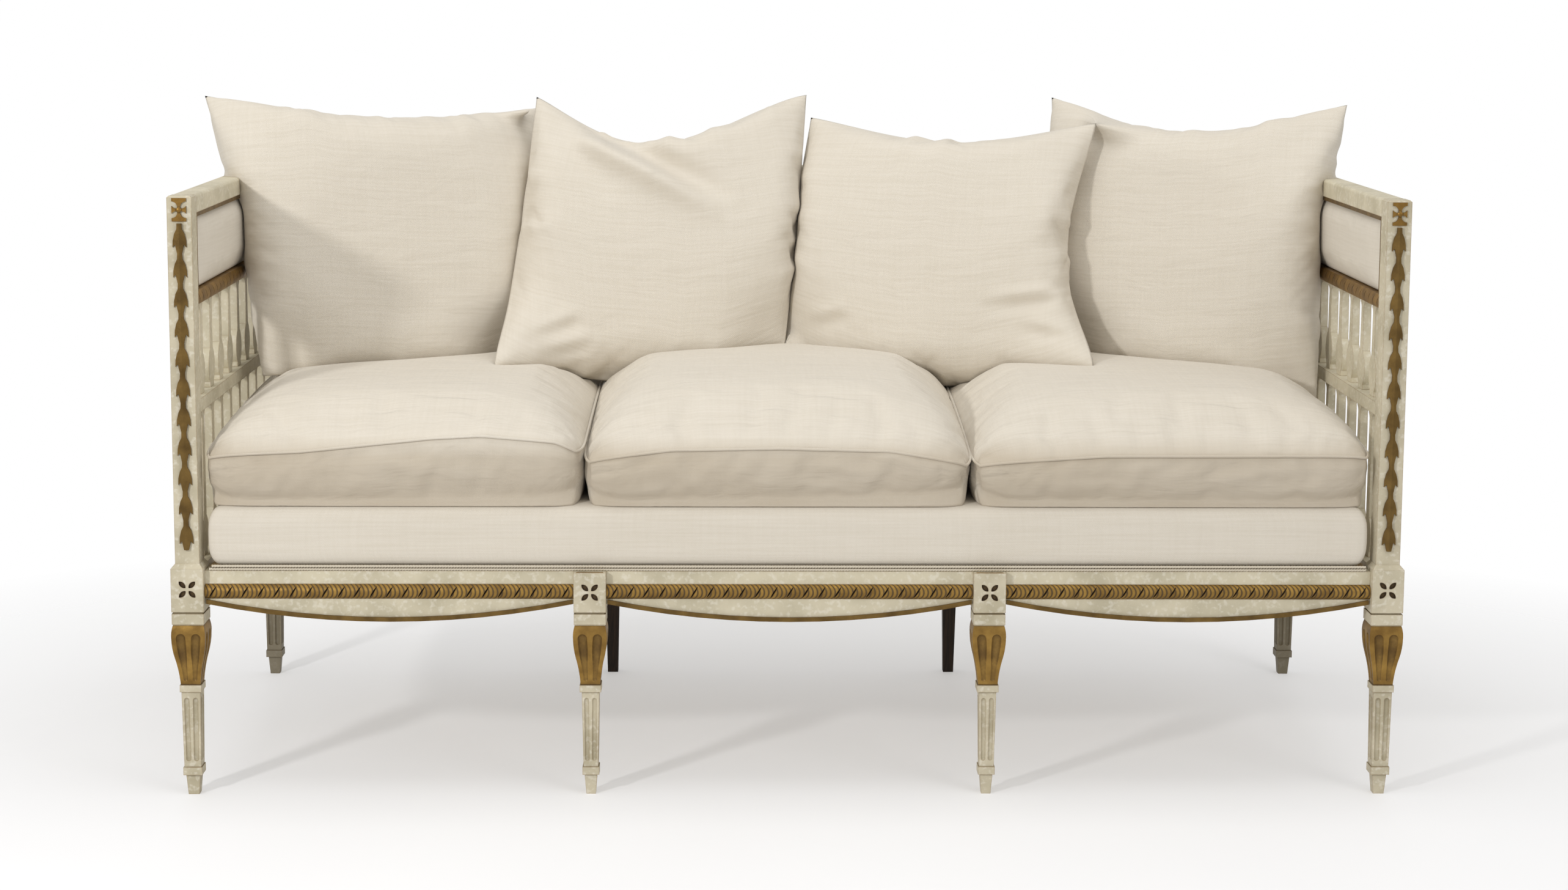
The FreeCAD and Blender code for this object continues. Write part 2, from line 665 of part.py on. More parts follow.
def panel_beads():
    right = [in_arm(b) for b in beads(*ARM_SPAN)]
    out = right + [mirror_x(b) for b in right]
    for u0, u1 in back_bays():
        out += [moved(b, 0, YC, 0) for b in beads(u0, u1)]
    return out


# Applied ornament on the front posts

HUSKS = 11
HUSK_TOP = POST_TOP - 40.0
HUSK_BOTTOM = STILE_FOOT + 21.0
HUSK_PITCH = (HUSK_TOP - HUSK_BOTTOM) / HUSKS
HUSK_LINE = ((3.4, 0.0), (3.8, 8.0), (7.4, 15.0), (9.8, 25.0), (10.2, 35.0), (6.4, 31.0), (4.6, 39.0))
HUSK_DRAWN = 44.0                    # pitch that the husk's outline is drawn for


def husk_chain():
    """Chain of bellflowers on the right front stile, ridged along its middle."""
    right = []
    for k in range(HUSKS):
        z = HUSK_TOP - k * HUSK_PITCH
        right += [(x, z - drop * HUSK_PITCH / HUSK_DRAWN) for x, drop in HUSK_LINE]
    right.append((HUSK_LINE[0][0], HUSK_BOTTOM))
    pts = [(x, 0, z) for x, z in right] + [(-x, 0, z) for x, z in reversed(right)]
    flat = prism(pts, Vector(0, -5, 0))
    low = HUSK_BOTTOM - 1
    ridge = prism([(-12, 0, low), (12, 0, low), (12, -1.2, low), (0, -4.8, low), (-12, -1.2, low)],
                  Vector(0, 0, HUSK_TOP - HUSK_BOTTOM + 2))
    return moved(flat.common(ridge), XC, -YC - HS - GLUE, 0)


def post_rosette():
    """Square gilt block with a four-petal flower, at the head of the right front stile."""
    mid = POST_TOP - 20.0
    block = box(-10.5, 10.5, -2.2, 0, mid - 17, mid + 17)
    boss = Part.makeSphere(6.0, Vector(0, 1.2, mid))
    boss = boss.common(box(-8, 8, -8, 0, mid - 10, mid + 10))
    cuts = [moved(c, 0, HD - 0.2, 0) for c in petal_cutters(-HD, mid)]
    return moved(block.fuse(boss).cut(cuts), XC, -YC - HS - GLUE, 0)


# Upholstery

def webbing():
    """Straps from front to back, and three from side to side on top of them."""
    y1 = YC - BALUSTER_THICK / 2 - 0.5
    z = RAIL_TOP + SOFT
    step = (XC - 132.5) / 4
    xs = [k * step for k in range(-4, 5)]
    out = [box(x - 25, x + 25, FRONT_FACE + 8, y1, z, z + STRAP) for x in xs]
    x1 = XC - BALUSTER_THICK / 2 - 0.5
    z = SIDE_TOP + SOFT
    out += [box(-x1, x1, y - 25, y + 25, z, z + STRAP) for y in (160 - YC, 0, YC - 160)]
    return out


DECK_X = XC - HD - 5.0
DECK_Y = (FRONT_FACE + 2.0, YC - HS - 7.0)


def hessian():
    z = SIDE_TOP + STRAP + 2 * SOFT
    return box(-DECK_X + 2, DECK_X - 2, DECK_Y[0] + 8, DECK_Y[1], z, z + 1.0)


def level_rect(x0, x1, y0, y1, r, z):
    """A rounded rectangle lying flat at height z."""
    w = rounded_rect(x0, x1, y0, y1, r, 0)
    w.rotate(Vector(0, 0, 0), Vector(1, 0, 0), -90)
    w.translate(Vector(0, 0, z))
    return w


def seat_deck():
    """Stuffed platform with a rolled upper edge."""
    z0, z1 = DECK_BOTTOM, DECK_TOP
    x, (ya, yb) = DECK_X, DECK_Y
    rows = [(0.0, 8.0, z1 - 24), (3.0, 9.0, z1 - 12), (10.0, 12.0, z1 - 4), (24.0, 18.0, z1)]
    wires = [level_rect(-x + i, x - i, ya + i, yb - i, r, z) for i, r, z in rows]
    base = Part.Face(level_rect(-x, x, ya, yb, 8.0, z0)).extrude(Vector(0, 0, z1 - 24 - z0))
    return base.fuse(Part.makeLoft(wires, True, False)).removeSplitter()


def deck_gimp():
    """Double braid over the lower edge of the deck, between the corner posts."""
    y = DECK_Y[0] - SOFT
    z = RAIL_TOP + SOFT
    r = 4.4
    f = y - 1.2
    sec = [line((0, f, z), (0, y, z)), line((0, y, z), (0, y, z + 2 * r)),
           line((0, y, z + 2 * r), (0, f, z + 2 * r)),
           arc((0, f, z + 2 * r), (0, f - 2.1, z + 1.5 * r), (0, f, z + r)),
           arc((0, f, z + r), (0, f - 2.1, z + 0.5 * r), (0, f, z))]
    return moved(Part.Face(Part.Wire(sec)).extrude(Vector(2 * DECK_X - 4, 0, 0)), -DECK_X + 2, 0, 0)


CUSHION_Y = (FRONT_FACE - 1.0, YC - HS - 9.0)


def seat_cushion(x0, x1, rise, lean_front):
    """Boxed feather cushion: drawn-in border, top seam, crown falling to the rear."""
    z0 = DECK_TOP + SOFT
    ya, yb = CUSHION_Y
    body = [(9.0, 24.0, 0.0), (1.0, 30.0, 18.0), (0.0, 32.0, 0.5 * CUSHION_BORDER),
            (3.0, 32.0, CUSHION_BORDER)]
    wires = [level_rect(x0 + i, x1 - i, ya + i, yb - i, r, z0 + z) for i, r, z in body]
    border = Part.makeLoft(wires, True, False)
    top = [(3.0, 3.0, 3.0, 32.0, 0.0), (18.0, 20.0, 75.0, 44.0, 0.34),
           (54.0, 52.0, 190.0, 70.0, 0.68), (110.0, 100.0 + lean_front, 300.0, 95.0, 0.92),
           (165.0, 160.0 + lean_front, 380.0, 60.0, 1.0)]
    wires = [level_rect(x0 + s, x1 - s, ya + f, yb - b, r, z0 + CUSHION_BORDER + rise * k)
             for s, f, b, r, k in top]
    return border.fuse(Part.makeLoft(wires, True, False)).removeSplitter()


def pillow_wire(tips, shrink, bulges, w):
    """Four arcs through the scaled tips, bowed out (or in, if negative) by a share of the side."""
    k = shrink * PILLOW_SCALE
    pts = [(u * k, v * k) for u, v in tips]
    edges = []
    for (ua, va), (ub, vb), bulge in zip(pts, pts[1:] + pts[:1], bulges):
        mu, mv = (ua + ub) / 2, (va + vb) / 2
        du, dv = ub - ua, vb - va
        mid = (mu + dv * bulge, w, mv - du * bulge)
        edges.append(arc((ua, w, va), mid, (ub, w, vb)))
    return Part.Wire(edges)


# Rings of a pillow: share of the outline, roundness of its own, share of the side's bow, fullness
RINGS = ((1.0, 0.0, 1.0, 0.0), (0.90, 0.03, 0.6, 0.34), (0.72, 0.07, 0.3, 0.72),
         (0.48, 0.10, 0.1, 0.93), (0.22, 0.12, 0.0, 1.0))


def pillow(tips, bows):
    """Knife-edge pillow: bowed sides, pointed ears and a full belly front and back."""
    halves = []
    for s in (-1, 1):
        half = s * PILLOW_HALF * PILLOW_SCALE
        wires = [pillow_wire(tips, k, [own + share * bow for bow in bows], full * half)
                 for k, own, share, full in RINGS]
        halves.append(Part.makeLoft(wires, True, False))
    return halves[0].fuse(halves[1]).removeSplitter()


def placed_pillow(tips, bows, out, yaw, roll):
    """Stands a pillow in place: rolled in its plane, turned about its length, leaned back."""
    p = turned(pillow(tips, bows), -roll, Vector(0, 1, 0))
    p = turned(p, yaw)
    p = turned(p, -LEAN, Vector(1, 0, 0))
    x, ahead, above = [d * PILLOW_SCALE for d in out]
    return moved(p, x, YC - HS - ahead, PILLOW_SEAT + above)


PILLOW_SEAT = DECK_TOP + CUSHION_BORDER + 66.0    # height on the cushions where the pillows rest
PILLOW_SCALE = LEG_PITCH / 595.0                  # the pillows are cut to suit the bays

# Tips are given lower left, lower right, upper right, upper left, as seen from the front;
# "bows" are the bottom, right, top and left sides' bows as shares of their length, outwards;
# "out" is the middle's place from the centre line, ahead of the back and above the seat
PILLOWS = {
    "far_left": {"tips": [(-212, -219), (208, -222), (256, 222), (-268, 220)],
                 "bows": (0.005, 0.015, -0.055, -0.10),
                 "out": (-664, 200, 224), "yaw": 28, "roll": 4},
    "mid_left": {"tips": [(-252, -232), (213, -199), (236, 234), (-212, 216)],
                 "bows": (0.008, -0.015, -0.12, 0.01),
                 "out": (-211, 125, 214.8), "yaw": 7, "roll": 0},
    "mid_right": {"tips": [(-237, -212), (243, -204), (237, 200), (-238, 196)],
                  "bows": (0.008, -0.09, -0.08, -0.022),
                  "out": (270, 135, 207.8), "yaw": -9, "roll": -4},
    "far_right": {"tips": [(-189, -205), (224, -230), (242, 220), (-243, 240)],
                  "bows": (0.005, -0.105, -0.11, -0.045),
                  "out": (676, 172, 224.2), "yaw": -28, "roll": -5},
}

# Rise of each seat cushion's crown above its seam, and how far back the crown starts
CROWNS = {"left": (90.0, 10.0), "center": (106.0, 30.0), "right": (94.0, 10.0)}


def cushion_spans():
    half = CUSHION_GAP / 2
    return {"left": (-CUSHION_END, SPLITS[0] - half), "center": (SPLITS[0] + half, SPLITS[1] - half),
            "right": (SPLITS[1] + half, CUSHION_END)}


def build():
    os.makedirs("parts", exist_ok=True)
    holes = screw_holes()
    pairs = {
        "front_post": corner_post(True),
        "rear_post": corner_post(False),
        "front_leg": inner_front_leg(),
        "rear_leg": inner_rear_leg(),
        "side_rail": side_rail().cut(holes),
        "seat_brace": seat_brace(),
        "arm_top_rail": arm_top_rail(),
        "arm_gilt_rail": arm_gilt_rail(),
        "arm_low_rail": arm_low_rail(),
        "arm_balusters": group(arm_balusters()),
        "arm_pad": in_arm(pad(*ARM_SPAN)),
        "back_upright": back_upright(),
        "husk_chain": husk_chain(),
    }
    for name, right in pairs.items():
        save(name + "_right", right)
        save(name + "_left", mirror_x(right))
    for name, x in front_spans().items():
        save("front_rail_" + name, front_rail(x).cut(holes))
    for name, (x0, x1) in cushion_spans().items():
        save("seat_cushion_" + name, seat_cushion(x0, x1, *CROWNS[name]))
    for name, bay in zip(front_spans(), back_bays()):
        save("back_pad_" + name, moved(pad(*bay), 0, YC, 0))
    bands = [on_front(ribbon_band(FRONT_LEN - 1), x + 0.5) for x in front_spans().values()]
    lips = [on_front(apron_bead(FRONT_LEN), x) for x in front_spans().values()]
    side_band = moved(on_side(ribbon_band(SIDE_LEN - 1)), 0, 0.5, 0)
    side_lip = on_side(apron_bead(SIDE_LEN))
    save("ribbon_bands", group(bands + [side_band, mirror_x(side_band)]))
    save("apron_beads", group(lips + [side_lip, mirror_x(side_lip)]))
    save("rear_rail", rear_rail().cut(holes))
    blocks = [corner_block()]
    blocks.append(mirror_y(blocks[0]))
    save("corner_blocks", group(blocks + [mirror_x(b) for b in blocks]))
    screws = block_screws()
    screws += [mirror_y(s) for s in screws]
    save("block_screws", group(screws + [mirror_x(s) for s in screws]))
    save("back_top_rail", back_top_rail())
    save("back_gilt_rail", back_gilt_rail())
    save("back_low_rail", back_low_rail())
    save("back_balusters", group(back_balusters()))
    save("panel_beads", group(panel_beads()))
    save("post_rosettes", group([post_rosette(), mirror_x(post_rosette())]))
    save("seat_webbing", group(webbing()))
    save("seat_hessian", hessian())
    save("seat_deck", seat_deck())
    save("deck_gimp", deck_gimp())
    for name, p in PILLOWS.items():
        shape = placed_pillow(p["tips"], p["bows"], p["out"], p["yaw"], p["roll"])
        save("back_pillow_" + name, shape)


build()
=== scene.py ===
"""Looks of a three-seat neoclassical sofa: painted and gilded frame, linen seat and loose cushions."""

from __future__ import annotations

import logging
import math
from dataclasses import dataclass, field
from enum import Enum
from typing import Any, Sequence, Union

import bpy
import numpy as np
from mathutils import Matrix, Vector
from mathutils.bvhtree import BVHTree

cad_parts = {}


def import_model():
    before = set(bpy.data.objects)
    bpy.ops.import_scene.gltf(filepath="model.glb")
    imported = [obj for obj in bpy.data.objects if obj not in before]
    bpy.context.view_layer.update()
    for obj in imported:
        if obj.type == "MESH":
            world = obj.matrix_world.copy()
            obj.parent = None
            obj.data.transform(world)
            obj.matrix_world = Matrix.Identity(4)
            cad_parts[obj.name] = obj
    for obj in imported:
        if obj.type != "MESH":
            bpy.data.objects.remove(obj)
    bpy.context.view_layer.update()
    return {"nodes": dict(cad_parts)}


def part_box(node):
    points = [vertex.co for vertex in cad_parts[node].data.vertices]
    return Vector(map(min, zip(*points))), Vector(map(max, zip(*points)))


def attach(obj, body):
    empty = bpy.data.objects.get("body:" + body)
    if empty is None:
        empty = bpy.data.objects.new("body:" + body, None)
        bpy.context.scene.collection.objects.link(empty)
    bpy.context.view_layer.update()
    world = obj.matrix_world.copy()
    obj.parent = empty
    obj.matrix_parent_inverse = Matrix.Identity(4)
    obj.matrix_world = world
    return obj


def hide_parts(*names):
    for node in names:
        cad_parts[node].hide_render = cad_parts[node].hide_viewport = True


LOG = logging.getLogger("sofa")
Colour = tuple[float, float, float]
Number = Union["Value", float]
# The name of the layer that holds the cut cloth's own coordinates
WEAVE = "weave"
# Millimetres in a metre
MILLI = 1000.0
# The share of a pillow's side within which a point lies on the seam
ON_SEAM = 1e-4
# The share of a box's half width, length or height from which a point lies at its end
RIM = 0.9999


class Value:
    """A socket of a shader graph that takes part in ordinary arithmetic."""

    def __init__(self, graph: "Graph", socket: bpy.types.NodeSocket) -> None:
        """Keeps the graph and the output socket that the value stands for."""
        self.graph = graph
        self.socket = socket

    def _math(self, operation: str, first: Number, second: Number = 0.0) -> "Value":
        """Adds one Math node and gives its result."""
        return self.graph.node("ShaderNodeMath", {"operation": operation}, {0: first, 1: second})

    def __add__(self, other: Number) -> "Value":
        """This value plus another."""
        return self._math("ADD", self, other)

    def __radd__(self, other: Number) -> "Value":
        """A number plus this value."""
        return self._math("ADD", other, self)

    def __sub__(self, other: Number) -> "Value":
        """This value less another."""
        return self._math("SUBTRACT", self, other)

    def __rsub__(self, other: Number) -> "Value":
        """A number less this value."""
        return self._math("SUBTRACT", other, self)

    def __mul__(self, other: Number) -> "Value":
        """This value times another."""
        return self._math("MULTIPLY", self, other)

    def __rmul__(self, other: Number) -> "Value":
        """A number times this value."""
        return self._math("MULTIPLY", other, self)

    def __truediv__(self, other: Number) -> "Value":
        """This value divided by another."""
        return self._math("DIVIDE", self, other)

    def __pow__(self, other: Number) -> "Value":
        """This value raised to a power."""
        return self._math("POWER", self, other)

    def __gt__(self, other: Number) -> "Value":
        """1 where this value is above another, else 0."""
        return self._math("GREATER_THAN", self, other)

    def __lt__(self, other: Number) -> "Value":
        """1 where this value is below another, else 0."""
        return self._math("LESS_THAN", self, other)

    def __abs__(self) -> "Value":
        """The size of this value."""
        return self._math("ABSOLUTE", self)

    def larger(self, other: Number) -> "Value":
        """The larger of two values."""
        return self._math("MAXIMUM", self, other)

    def sine(self) -> "Value":
        """The sine of this value in radians."""
        return self._math("SINE", self)

    def spread(self, low: float, high: float) -> "Value":
        """Stretches the range low to high over 0 to 1, and stops at both ends."""
        sockets = {"Value": self, "From Min": low, "From Max": high}
        return self.graph.node("ShaderNodeMapRange", {"clamp": True}, sockets)


@dataclass
class Coat:
    """One coat on a surface: its colour, roughness, metal and relief in metres."""

    colour: Value
    roughness: Number
    metallic: Number
    height: Value

    def under(self, top: "Coat", mask: Value) -> "Coat":
        """Lays another coat on this one.

        Args:
            top: The coat that goes on.
            mask: 1 where the upper coat shows.

        Returns:
            The two coats as one.
        """
        graph = mask.graph

        def blend(low: Number, high: Number) -> Value:
            """Goes from the lower coat's value to the upper one's."""
            return low + mask * (high - low)

        return Coat(
            graph.mix(mask, self.colour, top.colour),
            blend(self.roughness, top.roughness),
            blend(self.metallic, top.metallic),
            blend(self.height, top.height),
        )


class Graph:
    """The node tree of one new material."""

    def __init__(self, name: str) -> None:
        """Starts an empty material.

        Args:
            name: The material's name.
        """
        self.material = bpy.data.materials.new(name)
        self.material.use_nodes = True
        self.tree = self.material.node_tree
        self.tree.nodes.clear()

    def node(
        self,
        kind: str,
        settings: dict[str, Any] | None = None,
        sockets: dict[str | int, Any] | None = None,
        output: str | int = 0,
    ) -> Value:
        """Adds a node.

        Args:
            kind: The node's type.
            settings: Its own settings, which are set first.
            sockets: Values or links of its input sockets.
            output: The output that is wanted.

        Returns:
            That output.
        """
        made = self.tree.nodes.new(kind)
        for key, value in (settings or {}).items():
            setattr(made, key, value)
        for key, value in (sockets or {}).items():
            socket = made.inputs[key]
            if isinstance(value, Value):
                self.tree.links.new(value.socket, socket)
            elif socket.type == "RGBA":
                socket.default_value = (*value, 1.0)
            else:
                socket.default_value = value
        return Value(self, made.outputs[output])

    def place(self) -> Value:
        """Object coordinates, which are the sofa's own metres."""
        return self.node("ShaderNodeTexCoord", output="Object")

    def cloth(self) -> Value:
        """The cut cloth's own coordinates in metres."""
        return self.node("ShaderNodeUVMap", {"uv_map": WEAVE})

    def axes(self, vector: Value) -> tuple[Value, ...]:
        """Splits a vector into its three parts."""
        split = self.node("ShaderNodeSeparateXYZ", None, {0: vector}).socket.node
        return tuple(Value(self, socket) for socket in split.outputs)

    def stretched(self, vector: Value, scale: tuple[float, float, float]) -> Value:
        """Scales a vector by axis, for streaks that run one way."""
        return self.node("ShaderNodeMapping", None, {"Vector": vector, "Scale": scale})

    def noise(self, vector: Value, scale: float, detail: float = 4.0, distortion: float = 0.0) -> Value:
        """Cloudy noise from 0 to 1, with its clouds per metre, its octaves and its swirl."""
        sockets = {"Vector": vector, "Scale": scale, "Detail": detail, "Distortion": distortion}
        return self.node("ShaderNodeTexNoise", None, sockets)

    def mix(self, factor: Number, low: Any, high: Any) -> Value:
        """Mixes two colours: the first where the factor is 0, the second where it is 1."""
        settings = {"data_type": "RGBA", "clamp_factor": True}
        return self.node("ShaderNodeMix", settings, {0: factor, 6: low, 7: high}, 2)

    def recess(self, depth: float) -> Value:
        """How deep a point lies in a hollow of its own piece, searched to a depth in metres."""
        settings = {"samples": 8, "only_local": True}
        return 1 - self.node("ShaderNodeAmbientOcclusion", settings, {"Distance": depth}, "AO")

    def edge(self, radius: float) -> Value:
        """How near a point is to a corner of its own piece.

        Args:
            radius: Reach of the search in metres.

        Returns:
            0 on a flat, rising towards an edge.
        """
        rounded = self.node("ShaderNodeBevel", {"samples": 4}, {"Radius": radius})
        plain = self.node("ShaderNodeNewGeometry", output="Normal")
        turn = self.node("ShaderNodeVectorMath", {"operation": "DOT_PRODUCT"}, {0: rounded, 1: plain}, 1)
        return 1 - turn

    def shade(self, coat: Coat, **constants: Any) -> bpy.types.Material:
        """Finishes the material from one coat.

        Args:
            coat: What covers the surface.
            constants: Fixed values of the shader's other sockets, by name with _ for spaces.

        Returns:
            The finished material.
        """
        normal = self.node("ShaderNodeBump", None, {"Height": coat.height, "Distance": 1.0})
        sockets: dict[str | int, Any] = {
            "Base Color": coat.colour,
            "Roughness": coat.roughness,
            "Metallic": coat.metallic,
            "Normal": normal,
        }
        sockets.update({key.replace("_", " "): value for key, value in constants.items()})
        shader = self.node("ShaderNodeBsdfPrincipled", None, sockets)
        out = self.tree.nodes.new("ShaderNodeOutputMaterial")
        self.tree.links.new(shader.socket, out.inputs["Surface"])
        return self.material


@dataclass(frozen=True)
class CreamPaint:
    """Old cream paint: mottled and chalky, rubbed along its edges, with painted shade in its corners."""

    light: Colour = (0.60, 0.54, 0.395)
    dull: Colour = (0.475, 0.425, 0.30)
    # The colour of the painted shade in the paint's hollows
    shade_colour: Colour = (0.21, 0.165, 0.085)
    gesso: Colour = (0.80, 0.76, 0.66)
    bare: Colour = (0.27, 0.17, 0.08)
    clouds: float = 16.0
    specks: float = 140.0
    bristles: float = 420.0
    corner: float = 0.014
    arris: float = 0.0022

    def coat(self, graph: Graph) -> Coat:
        """Lays the paint.

        Args:
            graph: The material that it goes into.

        Returns:
            The paint as a coat.
        """
        at = graph.place()
        mottle = graph.noise(at, self.clouds, 6.0)
        fine = graph.noise(at, self.specks, 5.0)
        colour = graph.mix(mottle.spread(0.40, 0.68), self.light, self.dull)
        colour = graph.mix(fine.spread(0.52, 0.66) * 0.35, colour, self.gesso)
        # Painted shade: the paint is darker in its own hollows and corners, and a little rougher there
        hollow = graph.recess(self.corner)
        painted_shade = hollow.spread(0.10, 0.52) * (0.45 + 0.75 * mottle)
        colour = graph.mix(painted_shade, colour, self.shade_colour)
        worn = (fine * 1.3 + mottle * 0.7 - 0.72).spread(0.0, 0.22)
        rub = graph.edge(self.arris).spread(0.03, 0.16) * worn
        colour = graph.mix(rub * 0.75 * (1 - hollow), colour, self.bare)
        strokes = graph.noise(graph.stretched(at, (1.0, 1.0, 0.12)), self.bristles, 2.0)
        height = fine * 0.00025 + strokes * 0.00012 - rub * 0.00025
        return Coat(colour, 0.46 + fine * 0.22 + painted_shade * 0.15, 0.0, height)

    def material(self) -> bpy.types.Material:
        """The paint alone, as a material."""
        graph = Graph("cream_paint")
        return graph.shade(self.coat(graph), Specular_IOR_Level=0.42)


@dataclass(frozen=True)
class AntiqueGilding:
    """Water gilding gone brown: dull gold on ridges, umber patina and painted shade in hollows, bole on
    edges.
    """

    gold: Colour = (0.315, 0.18, 0.042)
    brown: Colour = (0.17, 0.092, 0.022)
    # The colour of the patina and painted shade in the hollows
    patina_and_shade: Colour = (0.055, 0.032, 0.012)
    bole: Colour = (0.21, 0.085, 0.035)
    depth: float = 0.010
    strand: float = 0.0
    name: str = "gilding"
    clouds: float = 38.0
    specks: float = 260.0
    arris: float = 0.0016

    def coat(self, graph: Graph) -> Coat:
        """Lays the leaf, with dark bars of painted shade between carved strands where it has any.

        Args:
            graph: The material that it goes into.

        Returns:
            The gilding as a coat.
        """
        at = graph.place()
        cloud = graph.noise(at, self.clouds, 6.0)
        grain = graph.noise(at, self.specks, 4.0)
        colour = graph.mix(cloud.spread(0.34, 0.66), self.gold, self.brown)
        # Patina and painted shade: the leaf turns umber, and duller, in its own hollows
        hollow = graph.recess(self.depth)
        dark = (hollow * (0.7 + 0.9 * grain)).spread(0.05, 0.36)
        rub = graph.edge(self.arris).spread(0.04, 0.2) * grain.spread(0.5, 0.64)
        # Painted shade: dark bars between the rope's carved strands
        if self.strand > 0:
            x, y, _ = graph.axes(at)
            strands = ((x + y) * (2 * math.pi / self.strand)).sine().spread(-0.2, 0.8)
            dark = dark.larger(strands * 0.85)
        colour = graph.mix(rub * 0.6, colour, self.bole)
        colour = graph.mix(dark, colour, self.patina_and_shade)
        height = grain * 0.00025 + cloud * 0.0004
        return Coat(colour, 0.36 + grain * 0.2 + dark * 0.25, 0.82 - dark * 0.6 - rub * 0.4, height)

    def material(self) -> bpy.types.Material:
        """The gilding alone, as a material."""
        graph = Graph(self.name)
        return graph.shade(self.coat(graph), Specular_IOR_Level=0.5)


@dataclass(frozen=True)
class CarvedPost:
    """Cream paint with the leaf-carved vase and the sunk die flowers picked out in gilding."""

    paint: CreamPaint = CreamPaint((0.56, 0.50, 0.365), (0.42, 0.37, 0.255))
    leaf: AntiqueGilding = AntiqueGilding((0.375, 0.225, 0.056), (0.20, 0.112, 0.028), depth=0.012)
    vase: tuple[float, float] = (0.1697, 0.2625)
    die: tuple[float, float] = (0.286, 0.3465)
    legs: tuple[float, float] = (0.2975, 0.8925)
    row: float = 0.350
    face: float = 0.024
    petal_reach: float = 0.0200
    petal_depth: tuple[float, float] = (0.0006, 0.006)
    name: str = "carved_post"
    # Painted shade on a post's lower part: its strength, its colour and the height below which it lies
    shade_share: float = 0.0
    painted_shade: Colour = (0.085, 0.066, 0.036)
    shade_below: float = 0.30

    def material(self) -> bpy.types.Material:
        """Builds the two coats and the line between them.

        Returns:
            The material of a carved leg or post.
        """
        graph = Graph(self.name)
        x, y, z = graph.axes(graph.place())
        shallow, deep = (self.face - depth for depth in self.petal_depth)
        gilt = (z > self.vase[0]) * (z < self.vase[1])
        in_die = (z > self.die[0]) * (z < self.die[1])
        from_inner, from_outer = (abs(abs(x) - leg) for leg in self.legs)
        from_row = abs(abs(y) - self.row)
        across = (from_inner < self.petal_reach).larger(from_outer < self.petal_reach)
        sunk_front = across * (from_row < shallow) * (from_row > deep)
        sunk_side = (from_outer < shallow) * (from_outer > deep) * (from_row < self.petal_reach)
        gilt = gilt.larger(in_die * sunk_front.larger(sunk_side))
        coat = self.paint.coat(graph).under(self.leaf.coat(graph), gilt)
        # Painted shade: the post is darker below the seat, where the sofa shades it
        if self.shade_share > 0:
            coat.colour = graph.mix((z < self.shade_below) * self.shade_share, coat.colour, self.painted_shade)
        return graph.shade(coat, Specular_IOR_Level=0.42)


@dataclass(frozen=True)
class Timber:
    """Wood with its grain along one axis."""

    name: str
    early: Colour
    late: Colour
    along: tuple[float, float, float]
    polish: float
    ring_scale: float = 30.0
    pore_scale: float = 260.0
    bands: float = 60.0
    corner: float = 0.02

    def material(self) -> bpy.types.Material:
        """Builds the grain.

        Returns:
            The wood as a material.
        """
        graph = Graph(self.name)
        at = graph.stretched(graph.place(), self.along)
        rings = graph.noise(at, self.ring_scale, 3.0, 1.2)
        pores = graph.noise(at, self.pore_scale, 4.0)
        bands = ((rings * self.bands).sine() * 0.5 + 0.5) * 0.6 + pores * 0.5
        colour = graph.mix(bands.spread(0.15, 0.95), self.early, self.late)
        # Painted shade in the wood's own corners
        shade_colour = tuple(c * 0.3 for c in self.late)
        colour = graph.mix(graph.recess(self.corner).spread(0.2, 0.9) * 0.6, colour, shade_colour)
        height = pores * 0.0003 + bands * 0.0001
        coat = Coat(colour, self.polish + pores * 0.2, 0.0, height)
        return graph.shade(coat, Specular_IOR_Level=0.25)


@dataclass(frozen=True)
class ScrewSteel:
    """Blued steel with turning marks and a little rust."""

    steel: Colour = (0.36, 0.355, 0.35)
    rust: Colour = (0.16, 0.07, 0.03)
    blotches: float = 300.0
    lathe_marks: float = 900.0

    def material(self) -> bpy.types.Material:
        """Builds the metal.

        Returns:
            The steel as a material.
        """
        graph = Graph("screw_steel")
        at = graph.place()
        blotch = graph.noise(at, self.blotches, 5.0)
        rusty = blotch.spread(0.52, 0.7)
        marks = graph.noise(graph.stretched(at, (1.0, 1.0, 8.0)), self.lathe_marks, 2.0)
        colour = graph.mix(rusty, self.steel, self.rust)
        height = marks * 0.0001 + blotch * 0.0002
        return graph.shade(Coat(colour, 0.32 + rusty * 0.4, 1 - rusty * 0.9, height))


